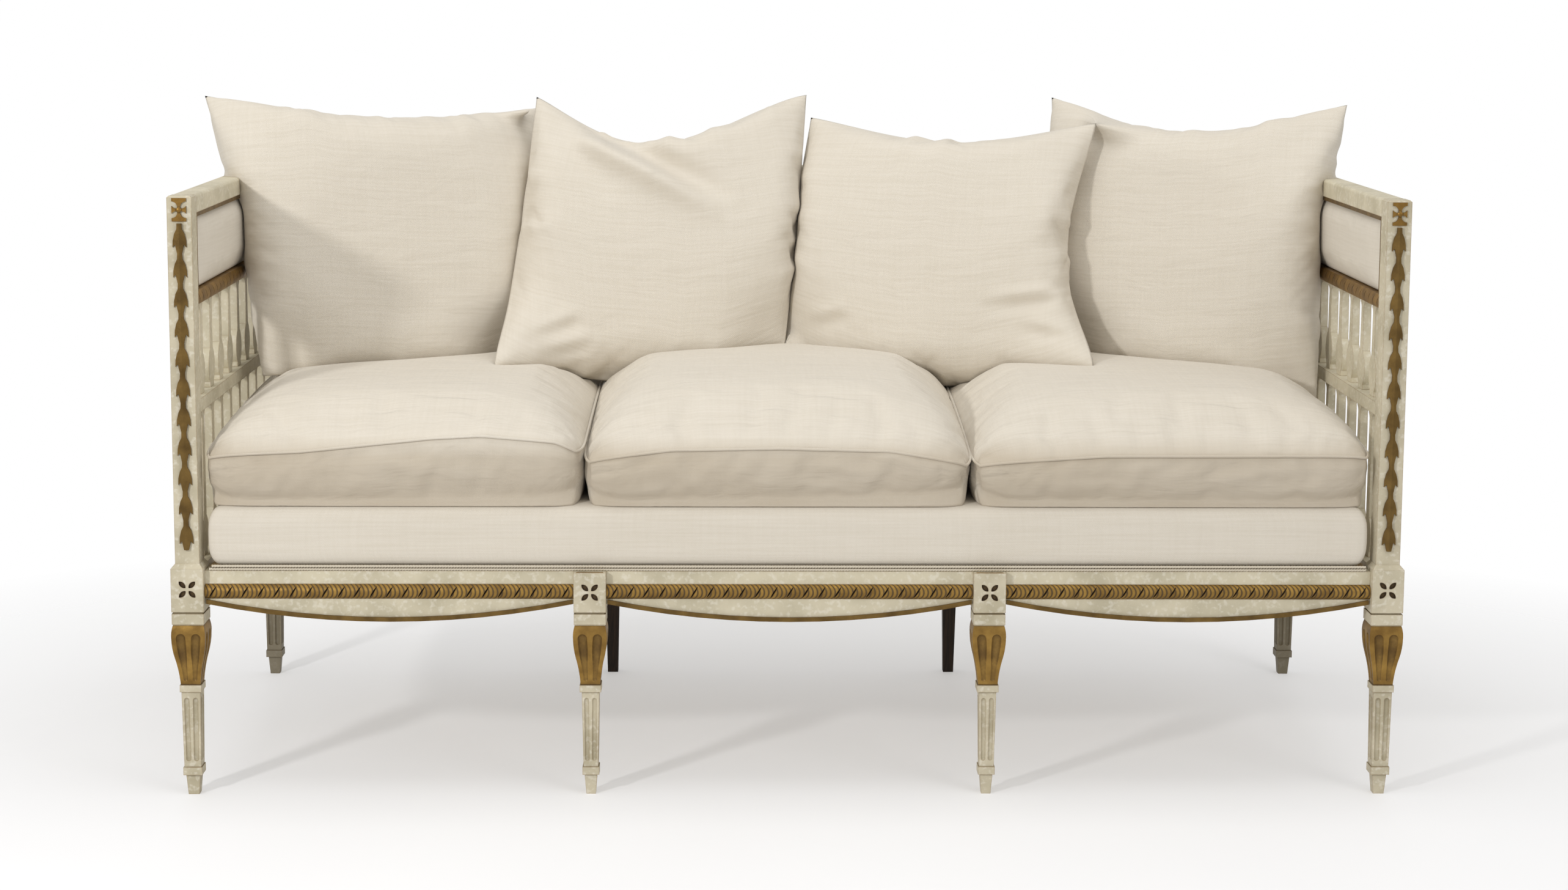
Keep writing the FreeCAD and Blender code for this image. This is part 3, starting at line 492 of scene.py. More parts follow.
@dataclass(frozen=True)
class Linen:
    """Washed linen: plain weave, slubs across, soft creases, a little sheen, and a darker front border."""

    name: str
    pale: Colour = (0.675, 0.62, 0.53)
    warm: Colour = (0.62, 0.563, 0.468)
    thread: float = 0.0013
    crease: float = 0.0032
    border_darkening: float = 0.0
    border_darker_colour: Colour = (0.44, 0.365, 0.265)
    border_front: float = -0.325
    border_top: float = 0.545
    border_fade: tuple[float, float] = (0.018, 0.03)
    weft_slubs: tuple[float, float, float] = (7.0, 260.0, 1.0)
    warp_slubs: tuple[float, float, float] = (230.0, 9.0, 1.0)
    creases: tuple[float, float, float] = (9.0, 22.0, 1.0)
    clouds: float = 4.5

    def material(self) -> bpy.types.Material:
        """Builds the cloth.

        Returns:
            The linen as a material.
        """
        graph = Graph(self.name)
        at = graph.cloth()
        u, v, _ = graph.axes(at)
        turn = math.pi / self.thread
        weave = (u * turn).sine() * (v * turn).sine() * 0.5 + 0.5
        weft = graph.noise(graph.stretched(at, self.weft_slubs), 1.0, 3.0)
        warp = graph.noise(graph.stretched(at, self.warp_slubs), 1.0, 3.0)
        slub = weft.spread(0.36, 0.70) * 0.65 + warp.spread(0.36, 0.74) * 0.35
        cloud = graph.noise(at, self.clouds, 3.0)
        tone = slub * 0.55 + cloud * 0.5 + weave * 0.12
        colour = graph.mix(tone.spread(0.28, 0.92), self.pale, self.warm)
        # Darker on the front border of a seat cushion
        if self.border_darkening > 0:
            _, y, z = graph.axes(graph.place())
            border = (self.border_front - y).spread(0.0, self.border_fade[0])
            border = border * (self.border_top - z).spread(0.0, self.border_fade[1])
            colour = graph.mix(border * (0.6 + 0.8 * cloud) * self.border_darkening, colour, self.border_darker_colour)
        folds = graph.noise(graph.stretched(at, self.creases), 1.0, 3.0, 0.6)
        height = weave * 0.00014 + slub * 0.00016 + folds * self.crease
        coat = Coat(colour, 0.86 + slub * 0.1, 0.0, height)
        return graph.shade(coat, Specular_IOR_Level=0.25, Sheen_Weight=0.12, Sheen_Roughness=0.45)


@dataclass(frozen=True)
class Sacking:
    """Coarse jute: open plain weave with uneven yarns, and a woven line along a strap's edges."""

    name: str
    pale: Colour
    dark: Colour
    thread: float
    stripe: float
    stripe_from_middle: float = 0.017
    stripe_half: float = 0.0022
    yarns_along: tuple[float, float, float] = (40.0, 420.0, 1.0)
    yarns_across: tuple[float, float, float] = (420.0, 40.0, 1.0)

    def material(self) -> bpy.types.Material:
        """Builds the cloth.

        Returns:
            The jute as a material.
        """
        graph = Graph(self.name)
        at = graph.cloth()
        u, v, _ = graph.axes(at)
        turn = math.pi / self.thread
        weave = (u * turn).sine() * (v * turn).sine() * 0.5 + 0.5
        yarn = graph.noise(graph.stretched(at, self.yarns_along), 1.0, 3.0)
        yarn = yarn * 0.5 + graph.noise(graph.stretched(at, self.yarns_across), 1.0, 3.0) * 0.5
        along, across = (abs(abs(way) - self.stripe_from_middle) < self.stripe_half for way in (u, v))
        line = along.larger(across) * self.stripe
        tone = (1 - weave) * 0.45 + yarn.spread(0.35, 0.65) * 0.45 + line
        colour = graph.mix(tone.spread(0.1, 1.0), self.pale, self.dark)
        height = weave * 0.0006 + yarn * 0.0006
        return graph.shade(Coat(colour, 0.85 + yarn * 0.1, 0.0, height), Specular_IOR_Level=0.2)


@dataclass(frozen=True)
class Gimp:
    """Twisted linen cord: pale on its strands, with grey-brown painted shade between them."""

    pale: Colour = (0.64, 0.575, 0.46)
    dark: Colour = (0.23, 0.18, 0.115)
    fibres: float = 1800.0
    hollow: float = 0.003

    def material(self) -> bpy.types.Material:
        """Builds the cord's cloth.

        Returns:
            The cord as a material.
        """
        graph = Graph("gimp")
        at = graph.place()
        fibre = graph.noise(graph.stretched(at, (1.0, 0.4, 0.4)), self.fibres, 3.0)
        # Painted shade between the cord's strands, with some change of tone along the fibres
        hollow = graph.recess(self.hollow)
        colour = graph.mix(hollow.spread(0.12, 0.6) * 0.8 + fibre * 0.25, self.pale, self.dark)
        return graph.shade(Coat(colour, 0.8 + fibre * 0.15, 0.0, fibre * 0.0003), Specular_IOR_Level=0.25)


class Finish(Enum):
    """The finishes that the frame's material slots take."""

    CREAM = "cream_paint"
    GILT = "gilding"
    SHADED_GILT = "gilding_painted_shade"
    ROPE = "gilded_rope"
    POST = "carved_post"
    REAR = "carved_rear_post"
    DARK = "dark_wood"
    BARE = "bare_wood"
    STEEL = "screw_steel"


@dataclass
class PaintedFrame:
    """The joined frame, which stays as the CAD has it and is painted, gilded or left bare."""

    rope: tuple[str, ...] = ("ribbon_bands",)
    shaded_gilt: tuple[str, ...] = ("apron_beads", "panel_beads", "husk_chain_left", "husk_chain_right")
    gilt: tuple[str, ...] = ("post_rosettes", "arm_gilt_rail_left", "arm_gilt_rail_right", "back_gilt_rail")
    posts: tuple[str, ...] = (
        "front_post_left", "front_post_right", "front_leg_left", "front_leg_right",
    )
    rear: tuple[str, ...] = ("rear_post_left", "rear_post_right")
    dark: tuple[str, ...] = ("rear_leg_left", "rear_leg_right")
    bare: tuple[str, ...] = ("seat_brace_left", "seat_brace_right", "corner_blocks")
    steel: tuple[str, ...] = ("block_screws",)
    cream: tuple[str, ...] = (
        "front_rail_left", "front_rail_center", "front_rail_right", "side_rail_left", "side_rail_right",
        "rear_rail", "arm_top_rail_left", "arm_top_rail_right", "back_top_rail", "arm_low_rail_left",
        "arm_low_rail_right", "back_low_rail", "arm_balusters_left", "arm_balusters_right",
        "back_balusters", "back_upright_left", "back_upright_right",
    )

    def finishes(self) -> dict[Finish, bpy.types.Material]:
        """Builds the frame's materials once each.

        Returns:
            The materials by finish.
        """
        # A darker copy of the gilding: painted shade on the husk chains and beads
        shaded_gilt = AntiqueGilding((0.205, 0.125, 0.036), (0.115, 0.068, 0.02), name="gilding_painted_shade")
        rope = AntiqueGilding(
            (0.40, 0.24, 0.058), (0.22, 0.125, 0.03), depth=0.005, strand=0.0066, name="gilded_rope")
        dark = Timber("dark_wood", (0.034, 0.019, 0.010), (0.013, 0.008, 0.005), (1.0, 1.0, 0.08), 0.38)
        bare = Timber("bare_wood", (0.52, 0.37, 0.21), (0.36, 0.235, 0.115), (1.0, 0.08, 1.0), 0.62)
        return {
            Finish.CREAM: CreamPaint().material(),
            Finish.GILT: AntiqueGilding().material(),
            Finish.SHADED_GILT: shaded_gilt.material(),
            Finish.ROPE: rope.material(),
            Finish.POST: CarvedPost().material(),
            # The rear posts, with painted shade on their feet
            Finish.REAR: CarvedPost(name="carved_rear_post", shade_share=0.72).material(),
            Finish.DARK: dark.material(),
            Finish.BARE: bare.material(),
            Finish.STEEL: ScrewSteel().material(),
        }

    def dress(self, nodes: dict[str, bpy.types.Object]) -> None:
        """Gives every rigid CAD node its finish.

        Args:
            nodes: The CAD nodes by name.
        """
        made = self.finishes()
        plan = {
            Finish.ROPE: self.rope, Finish.SHADED_GILT: self.shaded_gilt, Finish.GILT: self.gilt,
            Finish.POST: self.posts, Finish.REAR: self.rear, Finish.DARK: self.dark,
            Finish.BARE: self.bare, Finish.STEEL: self.steel, Finish.CREAM: self.cream,
        }
        for finish, names in plan.items():
            for name in names:
                for slot in nodes[name].material_slots:
                    slot.material = made[finish]
                LOG.info("%s: %s", name, finish.value)


class Bench:
    """Handwork on one mesh at a time: primitives, edit mode, points and modifiers."""

    @staticmethod
    def alone(piece: bpy.types.Object) -> None:
        """Selects one piece and nothing else.

        Args:
            piece: The piece.
        """
        bpy.ops.object.select_all(action="DESELECT")
        piece.select_set(True)
        bpy.context.view_layer.objects.active = piece

    @staticmethod
    def panel(name: str, cells: tuple[int, int], size: tuple[float, float]) -> bpy.types.Object:
        """Cuts a flat panel of cloth, gridded and centred on the origin.

        Args:
            name: The new piece's name.
            cells: Cells along X and Y.
            size: Width and length in metres.

        Returns:
            The panel.
        """
        bpy.ops.object.select_all(action="DESELECT")
        bpy.ops.mesh.primitive_grid_add(x_subdivisions=cells[0], y_subdivisions=cells[1], size=1.0)
        piece = bpy.context.object
        piece.name = piece.data.name = name
        bpy.ops.object.mode_set(mode="EDIT")
        bpy.ops.mesh.select_all(action="SELECT")
        bpy.ops.transform.resize(value=(size[0], size[1], 1.0))
        bpy.ops.object.mode_set(mode="OBJECT")
        return piece

    @staticmethod
    def box_up(piece: bpy.types.Object, height: float, rows: int) -> None:
        """Raises a panel into a closed box by extruding it row by row.

        Args:
            piece: The panel.
            height: How far it goes up.
            rows: Rows of cells in the border.
        """
        Bench.alone(piece)
        bpy.ops.object.mode_set(mode="EDIT")
        bpy.ops.mesh.select_all(action="SELECT")
        for _ in range(rows):
            step = {"value": (0.0, 0.0, height / rows)}
            bpy.ops.mesh.extrude_region_move(TRANSFORM_OT_translate=step)
        bpy.ops.mesh.select_all(action="SELECT")
        bpy.ops.mesh.normals_make_consistent(inside=False)
        bpy.ops.object.mode_set(mode="OBJECT")

    @staticmethod
    def merge(piece: bpy.types.Object, gap: float) -> None:
        """Sews together points that lie on each other.

        Args:
            piece: The piece.
            gap: The widest gap that is closed.
        """
        Bench.alone(piece)
        bpy.ops.object.mode_set(mode="EDIT")
        bpy.ops.mesh.select_all(action="SELECT")
        bpy.ops.mesh.remove_doubles(threshold=gap)
        bpy.ops.mesh.normals_make_consistent(inside=False)
        bpy.ops.object.mode_set(mode="OBJECT")

    @staticmethod
    def points(piece: bpy.types.Object) -> np.ndarray:
        """Reads a piece's points.

        Args:
            piece: The piece.

        Returns:
            The points, one row each.
        """
        flat = np.empty(len(piece.data.vertices) * 3, np.float32)
        piece.data.vertices.foreach_get("co", flat)
        return flat.reshape(-1, 3).astype(float)

    @staticmethod
    def corners(piece: bpy.types.Object) -> np.ndarray:
        """Reads which point each corner of each face stands on.

        Args:
            piece: The piece.

        Returns:
            One index for each corner.
        """
        stands_on = np.empty(len(piece.data.loops), np.int32)
        piece.data.loops.foreach_get("vertex_index", stands_on)
        return stands_on

    @staticmethod
    def edges(piece: bpy.types.Object) -> np.ndarray:
        """Reads the two points of each edge.

        Args:
            piece: The piece.

        Returns:
            Two indices for each edge, one row each.
        """
        ends = np.empty(len(piece.data.edges) * 2, np.int32)
        piece.data.edges.foreach_get("vertices", ends)
        return ends.reshape(-1, 2)

    @staticmethod
    def skin(piece: bpy.types.Object) -> BVHTree:
        """A piece's faces as a tree that finds the nearest of them."""
        faces = [tuple(face.vertices) for face in piece.data.polygons]
        return BVHTree.FromPolygons([point.co for point in piece.data.vertices], faces)

    @staticmethod
    def move(piece: bpy.types.Object, points: np.ndarray) -> None:
        """Puts the piece's points in new places."""
        piece.data.vertices.foreach_set("co", points.astype(np.float32).ravel())
        piece.data.update()

    @staticmethod
    def lay(piece: bpy.types.Object, cloth: np.ndarray) -> None:
        """Writes the cloth's own coordinates, one row for each corner of each face."""
        layer = piece.data.uv_layers.get(WEAVE) or piece.data.uv_layers.new(name=WEAVE)
        layer.data.foreach_set("uv", cloth.astype(np.float32).ravel())

    @staticmethod
    def weave(piece: bpy.types.Object) -> None:
        """Lays the cloth's own coordinates on a cut shape, each face by the way it looks.

        Args:
            piece: The piece at its cut shape.
        """
        faces = piece.data.polygons
        normals = np.empty(len(faces) * 3, np.float32)
        faces.foreach_get("normal", normals)
        totals = np.empty(len(faces), np.int32)
        faces.foreach_get("loop_total", totals)
        way = np.repeat(np.abs(normals.reshape(-1, 3)).argmax(1), totals)
        pick = np.array([[1, 2], [0, 2], [0, 1]])[way]
        at = Bench.points(piece)[Bench.corners(piece)]
        Bench.lay(piece, np.take_along_axis(at, pick, 1))

    @staticmethod
    def finish(piece: bpy.types.Object, kind: str, name: str, **settings: Any) -> None:
        """Adds a modifier and applies it.

        Args:
            piece: The piece.
            kind: The modifier's type.
            name: The modifier's name.
            settings: Its settings.
        """
        Bench.alone(piece)
        modifier = piece.modifiers.new(name, kind)
        for key, value in settings.items():
            setattr(modifier, key, value)
        bpy.ops.object.modifier_apply(modifier=modifier.name)

    @staticmethod
    def smooth(piece: bpy.types.Object) -> None:
        """Rounds a piece off by one subdivision and shades it smooth.

        Args:
            piece: The piece.
        """
        Bench.finish(piece, "SUBSURF", "rounding", levels=1, render_levels=1)
        Bench.alone(piece)
        bpy.ops.object.shade_smooth()


class Neighbours:
    """The points that share an edge with each point of a piece."""

    def __init__(self, piece: bpy.types.Object) -> None:
        """Reads the piece's edges and counts them at each point.

        Args:
            piece: The piece.
        """
        size = len(piece.data.vertices)
        self.first, self.second = Bench.edges(piece).T
        self.count = np.bincount(self.first, minlength=size) + np.bincount(self.second, minlength=size)

    def mean(self, values: np.ndarray) -> np.ndarray:
        """Takes the mean of what each point's neighbours have.

        Args:
            values: One number or row for each point.

        Returns:
            The means, in the same order.
        """
        total = np.zeros_like(values)
        np.add.at(total, self.first, values[self.second])
        np.add.at(total, self.second, values[self.first])
        return (total.T / np.maximum(self.count, 1)).T


@dataclass(frozen=True)
class Filling:
    """How hard a cover is filled, how its cloth resists, and how far it may move from its cut."""

    pressure: float = 4.0
    reach: float = 0.02
    frames: int = 20
    slack: float = 0.0
    bend: float = 0.5
    mass: float = 0.3
    stretch: float = 18.0
    shear: float = 8.0
    quality: int = 5

    def fill(self, cover: bpy.types.Object, held: np.ndarray | None = None) -> None:
        """Runs the cloth, applies it and holds each point within reach of its cut place.

        Args:
            cover: A closed cover at its cut shape.
            held: Indices of points that stay where they are.
        """
        Bench.alone(cover)
        before = Bench.points(cover)
        cloth = cover.modifiers.new("cloth", "CLOTH")
        rules = cloth.settings
        rules.quality = self.quality
        rules.mass = self.mass
        rules.tension_stiffness = rules.compression_stiffness = self.stretch
        rules.shear_stiffness = self.shear
        rules.bending_stiffness = self.bend
        rules.use_pressure = True
        rules.uniform_pressure_force = self.pressure
        rules.shrink_min = -self.slack
        rules.effector_weights.gravity = 0.0
        if held is not None:
            group = cover.vertex_groups.new(name="held")
            group.add([int(i) for i in held], 1.0, "REPLACE")
            rules.vertex_group_mass = "held"
        for step in range(1, self.frames + 1):
            bpy.context.scene.frame_set(step)
        bpy.ops.object.modifier_apply(modifier="cloth")
        bpy.context.scene.frame_set(1)
        moved = Bench.points(cover) - before
        far = np.linalg.norm(moved, axis=1, keepdims=True)
        Bench.move(cover, before + moved * np.minimum(1.0, self.reach / np.maximum(far, 1e-9)))


@dataclass
class BackPillow:
    """A knife-edge feather pillow, sewn from two flat panels, filled and stood on the seat.

    Tips, bows, folds and flops are in millimetres. Tips go round from the lower left corner, and bows
    from the bottom side. A fold has its start, end, depth and width, and a flop its corner and how far
    that goes forward and up.
    """

    name: str
    tips: Sequence[tuple[float, float]]
    bows: Sequence[float]
    centre: tuple[float, float, float]
    yaw: float
    roll: float
    folds: Sequence[tuple[Sequence[float], Sequence[float], float, float]] = ()
    skew: float = 1.0
    flops: Sequence[tuple[int, float, float]] = ()
    half: float = 0.074
    lean: float = 16.0
    cells: int = 60
    spare: float = 1.05
    loft: float = 0.016
    pull: float = 0.85
    pull_fade: float = 1.5
    ear_reach: float = 0.065
    ear_thinning: float = 0.55
    fold_skin: float = 0.045
    flop_reach: float = 0.085
    filling: Filling = Filling(reach=0.11, frames=15, bend=1.0)
    share: np.ndarray = field(default_factory=lambda: np.zeros((0, 2)))

    def sew(self) -> bpy.types.Object:
        """Sews two panels together along their four sides.

        Returns:
            The empty cover, lying flat in XZ.
        """
        apart = 0.02
        cover = Bench.panel(self.name + "_cover", (self.cells, self.cells), (1.0, 1.0))
        Bench.box_up(cover, apart, 1)
        at = Bench.points(cover)
        s, t = at[:, 0] + 0.5, at[:, 1] + 0.5
        face = np.where(at[:, 2] > apart / 2, -1.0, 1.0)
        inner = 16.0 * s * (1 - s) * t * (1 - t)
        flat = self.quad(s, t) * self.spare
        Bench.move(cover, np.stack([flat[:, 0], face * self.loft * np.sqrt(inner), flat[:, 1]], 1))
        Bench.merge(cover, gap=1e-6)
        flat = Bench.points(cover)
        self.share = self.unquad(flat / self.spare)
        Bench.lay(cover, flat[Bench.corners(cover)][:, [0, 2]])
        return cover

    def quad(self, s: np.ndarray, t: np.ndarray) -> np.ndarray:
        """Places shares of the two sides in the quad between the four tips.

        Args:
            s: Share from left to right.
            t: Share from bottom to top.

        Returns:
            Places in the pillow's plane in metres.
        """
        low_left, low_right, high_right, high_left = (np.array(tip) / MILLI for tip in self.tips)
        s, t = s[:, None], t[:, None]
        return (1 - t) * ((1 - s) * low_left + s * low_right) + t * ((1 - s) * high_left + s * high_right)

    def unquad(self, at: np.ndarray) -> np.ndarray:
        """Finds the shares of the two sides for points of the flat quad, step by step.

        Args:
            at: Points in the pillow's plane.

        Returns:
            Shares from left to right and from bottom to top, one row each.
        """
        s, t = np.full(len(at), 0.5), np.full(len(at), 0.5)
        step = 1e-4
        for _ in range(12):
            here = self.quad(s, t)
            miss = at[:, [0, 2]] - here
            along = (self.quad(s + step, t) - here) / step
            up = (self.quad(s, t + step) - here) / step
            area = along[:, 0] * up[:, 1] - along[:, 1] * up[:, 0]
            s = s + (miss[:, 0] * up[:, 1] - miss[:, 1] * up[:, 0]) / area
            t = t + (along[:, 0] * miss[:, 1] - along[:, 1] * miss[:, 0]) / area
        return np.clip(np.stack([s, t], 1), 0.0, 1.0)

    def to_tips(self, at: np.ndarray) -> np.ndarray:
        """Shifts a filled cover so that its four corners reach their tips.

        Args:
            at: The cover's points.

        Returns:
            The shifted points.
        """
        s, t = self.share.T
        corners = [np.argmin((s - a) ** 2 + (t - b) ** 2) for a, b in ((0, 0), (1, 0), (1, 1), (0, 1))]
        weights = [(1 - s) * (1 - t), s * (1 - t), s * t, (1 - s) * t]
        for corner, weight, tip in zip(corners, weights, self.tips):
            goal = np.array([tip[0] / MILLI, 0.0, tip[1] / MILLI])
            at = at + weight[:, None] * (goal - at[corner])
        return at

    def bow(self, at: np.ndarray) -> None:
        """Draws the four sides out or in to their bows, and less what lies further from a side.

        Args:
            at: The cover's points, which are moved.
        """
        s, t = self.share.T
        top = (3, 2)
        sides = [
            (t < ON_SEAM, s, 1 - t, (0, 1), 1.0), (s > 1 - ON_SEAM, t, s, (1, 2), 1.0),
            (t > 1 - ON_SEAM, s, t, top, -1.0), (s < ON_SEAM, t, 1 - s, (0, 3), -1.0),
        ]
        for (on_side, along, near, ends, turn), bow in zip(sides, self.bows):
            a, b = (np.array(self.tips[k]) / MILLI for k in ends)
            run = (b - a) / np.linalg.norm(b - a)
            out = turn * np.array([run[1], -run[0]])
            lie = self.skew if ends == top else 1.0
            here = np.flatnonzero(on_side)
            here = here[np.argsort(along[here])]
            # A skewed bow is deepest off the middle, and steeper
            bend = np.sin(np.pi * along[here] ** lie) ** (2.4 - 1.2 * lie)
            goal = a + (b - a) * along[here, None] + out * (bow / MILLI * bend)[:, None]
            miss = self.pull * (goal - at[here][:, [0, 2]])
            for axis, part in zip((0, 2), miss.T):
                at[:, axis] += np.interp(along, along[here], part) * near**self.pull_fade

    def settle(self, cover: bpy.types.Object) -> None:
        """Draws the filled cover to its tips, its sides' bows, its thickness and its folds.

        Args:
            cover: The filled cover, still flat in XZ.
        """
        at = self.to_tips(Bench.points(cover))
        self.bow(at)
        at[:, 1] *= self.half / np.abs(at[:, 1]).max()
        for tip in self.tips:
            reach = np.hypot(at[:, 0] - tip[0] / MILLI, at[:, 2] - tip[1] / MILLI)
            at[:, 1] *= 1 - self.ear_thinning * np.exp(-((reach / self.ear_reach) ** 2))
        for start, end, depth, width in self.folds:
            front = np.clip(-at[:, 1] / self.fold_skin, 0, 1)
            at[:, 1] += front * self.crease(at, start, end, depth, width)
        Bench.move(cover, at)
        self.sharpen(cover)

    def crease(self, at: np.ndarray, start: Sequence[float], end: Sequence[float], depth: float,
               width: float) -> np.ndarray:
        """Works out a fold, a valley beside a ridge, that fades towards both its ends.

        Args:
            at: Points in the pillow's plane.
            start: Where the fold begins, in millimetres.
            end: Where it ends.
            depth: How deep it is.
            width: How far it reaches to each side.

        Returns:
            How far each point goes in.
        """
        a, b = np.array(start) / MILLI, np.array(end) / MILLI
        run = (b - a) / np.linalg.norm(b - a)
        from_start = at[:, [0, 2]] - a
        along = from_start @ run / np.linalg.norm(b - a)
        aside = from_start @ np.array([-run[1], run[0]]) / (width / MILLI)
        fade = np.clip(2.2 * along, 0, 1) * np.clip(5.0 * (1 - along), 0, 1)
        valley, ridge = np.exp(-((aside + 0.6) ** 2)), np.exp(-((aside - 0.8) ** 2))
        return depth / MILLI * fade * (valley - 0.8 * ridge)

    def sharpen(self, cover: bpy.types.Object) -> None:
        """Marks the seam and its four tips as sharp for the subdivision.

        Args:
            cover: The cover.
        """
        s, t = self.share.T
        from_side, from_end = np.minimum(s, 1 - s), np.minimum(t, 1 - t)
        on_seam = np.minimum(from_side, from_end) < ON_SEAM
        tip = (from_side < ON_SEAM) & (from_end < ON_SEAM)
        seam = on_seam[Bench.edges(cover)].all(1)
        for name, domain, marked in (("crease_edge", "EDGE", seam), ("crease_vert", "POINT", tip)):
            layer = cover.data.attributes.new(name, "FLOAT", domain)
            layer.data.foreach_set("value", marked.astype(np.float32))

    def stand(self, cover: bpy.types.Object) -> None:
        """Turns the pillow to its place against the back, and lets its corners flop.

        Args:
            cover: The pillow, flat in XZ.
        """
        turn = (
            Matrix.Translation(Vector(self.centre))
            @ Matrix.Rotation(math.radians(-self.lean), 4, "X")
            @ Matrix.Rotation(math.radians(self.yaw), 4, "Z")
            @ Matrix.Rotation(math.radians(-self.roll), 4, "Y")
        )
        flat = Bench.points(cover)
        cover.data.transform(turn)
        at = Bench.points(cover)
        for corner, ahead, up in self.flops:
            tip = np.array(self.tips[corner]) / MILLI
            away = np.linalg.norm(flat[:, [0, 2]] - tip, axis=1)
            weight = np.exp(-((away / self.flop_reach) ** 2))
            at += weight[:, None] * np.array([0.0, -ahead, up]) / MILLI
        Bench.move(cover, at)

    def build(self) -> bpy.types.Object:
        """Makes the pillow.

        Returns:
            The finished pillow's cover, before it is dressed.
        """
        cover = self.sew()
        self.filling.fill(cover)
        self.settle(cover)
        self.stand(cover)
        return cover


@dataclass
class Yielding:
    """Soft goods giving way to what they lie against.

    A pillow is pressed out of every solid that it meets. A seat cushion sinks under the pillows that
    stand on it.
    """

    solids: list[BVHTree] = field(default_factory=list)
    rounds: int = 4
    spreads: int = 3
    eases: int = 4
    carry: float = 0.85
    deepest: float = 0.06
    air: float = 0.0012
    eased: float = 1e-4
    counted: float = 1e-5
    sink_behind: float = -0.12
    sink_above: float = 0.5
    sink_from: float = 0.45
    sink_air: float = 0.0015
    sink_spreads: int = 14
    sink_carry: float = 0.97

    def add(self, piece: bpy.types.Object) -> None:
        """Counts a piece among what others give way to."""
        self.solids.append(Bench.skin(piece))

    def way_out(self, at: np.ndarray) -> np.ndarray:
        """Works out how points that lie inside a solid get to its skin.

        Args:
            at: The points.

        Returns:
            How far each point has to move, one row each.
        """
        push = np.zeros_like(at)
        for tree in self.solids:
            for k, point in enumerate(at + push):
                skin, normal, _, gap = tree.find_nearest(Vector(point), self.deepest)
                if skin is None:
                    continue
                depth = (skin - Vector(point)).dot(normal)
                if depth > -self.air and (depth > 0 or gap < self.air):
                    push[k] += np.array(skin + normal * self.air) - point
        return push

    def press(self, cover: bpy.types.Object) -> int:
        """Moves the points of a cover that lie inside another piece out to its skin.

        Args:
            cover: The cover that gives way.

        Returns:
            How many points still had to move in the last round.
        """
        beside = Neighbours(cover)
        moved = 0
        for turn in range(self.rounds):
            softly = turn < self.rounds - 1
            at = Bench.points(cover)
            push = self.way_out(at)
            moved = int((np.abs(push).max(1) > self.counted).sum())
            for _ in range(self.spreads if softly else 0):
                pushed = np.abs(push).max(1, keepdims=True) > self.eased
                push = np.where(pushed, push, self.carry * beside.mean(push))
            at = at + push
            pressed = np.abs(push).max(1, keepdims=True) > self.eased
            for _ in range(self.eases if softly else 0):
                at = np.where(pressed, 0.5 * at + 0.5 * beside.mean(at), at)
            Bench.move(cover, at)
        return moved

    def sink(self, cushion: bpy.types.Object, pillows: Sequence[bpy.types.Object]) -> int:
        """Presses the top of a seat cushion down under the pillows that stand on it.

        Args:
            cushion: The seat cushion.
            pillows: The pillows.

        Returns:
            How many points lie under a pillow.
        """
        at = Bench.points(cushion)
        top = at[:, 2] > self.sink_above
        drop = np.zeros(len(at))
        for pillow in pillows:
            tree = Bench.skin(pillow)
            for k in np.flatnonzero((at[:, 1] > self.sink_behind) & top):
                below = Vector((at[k, 0], at[k, 1], self.sink_from))
                hit = tree.ray_cast(below, Vector((0.0, 0.0, 1.0)))[0]
                if hit is not None:
                    drop[k] = max(drop[k], at[k, 2] - (hit.z - self.sink_air))
        beside = Neighbours(cushion)
        spread = drop.copy()
        for _ in range(self.sink_spreads):
            spread = np.maximum(drop, self.sink_carry * beside.mean(spread))
        at[:, 2] -= np.where(top, spread, 0.0)
        Bench.move(cushion, at)
        return int((drop > 0).sum())


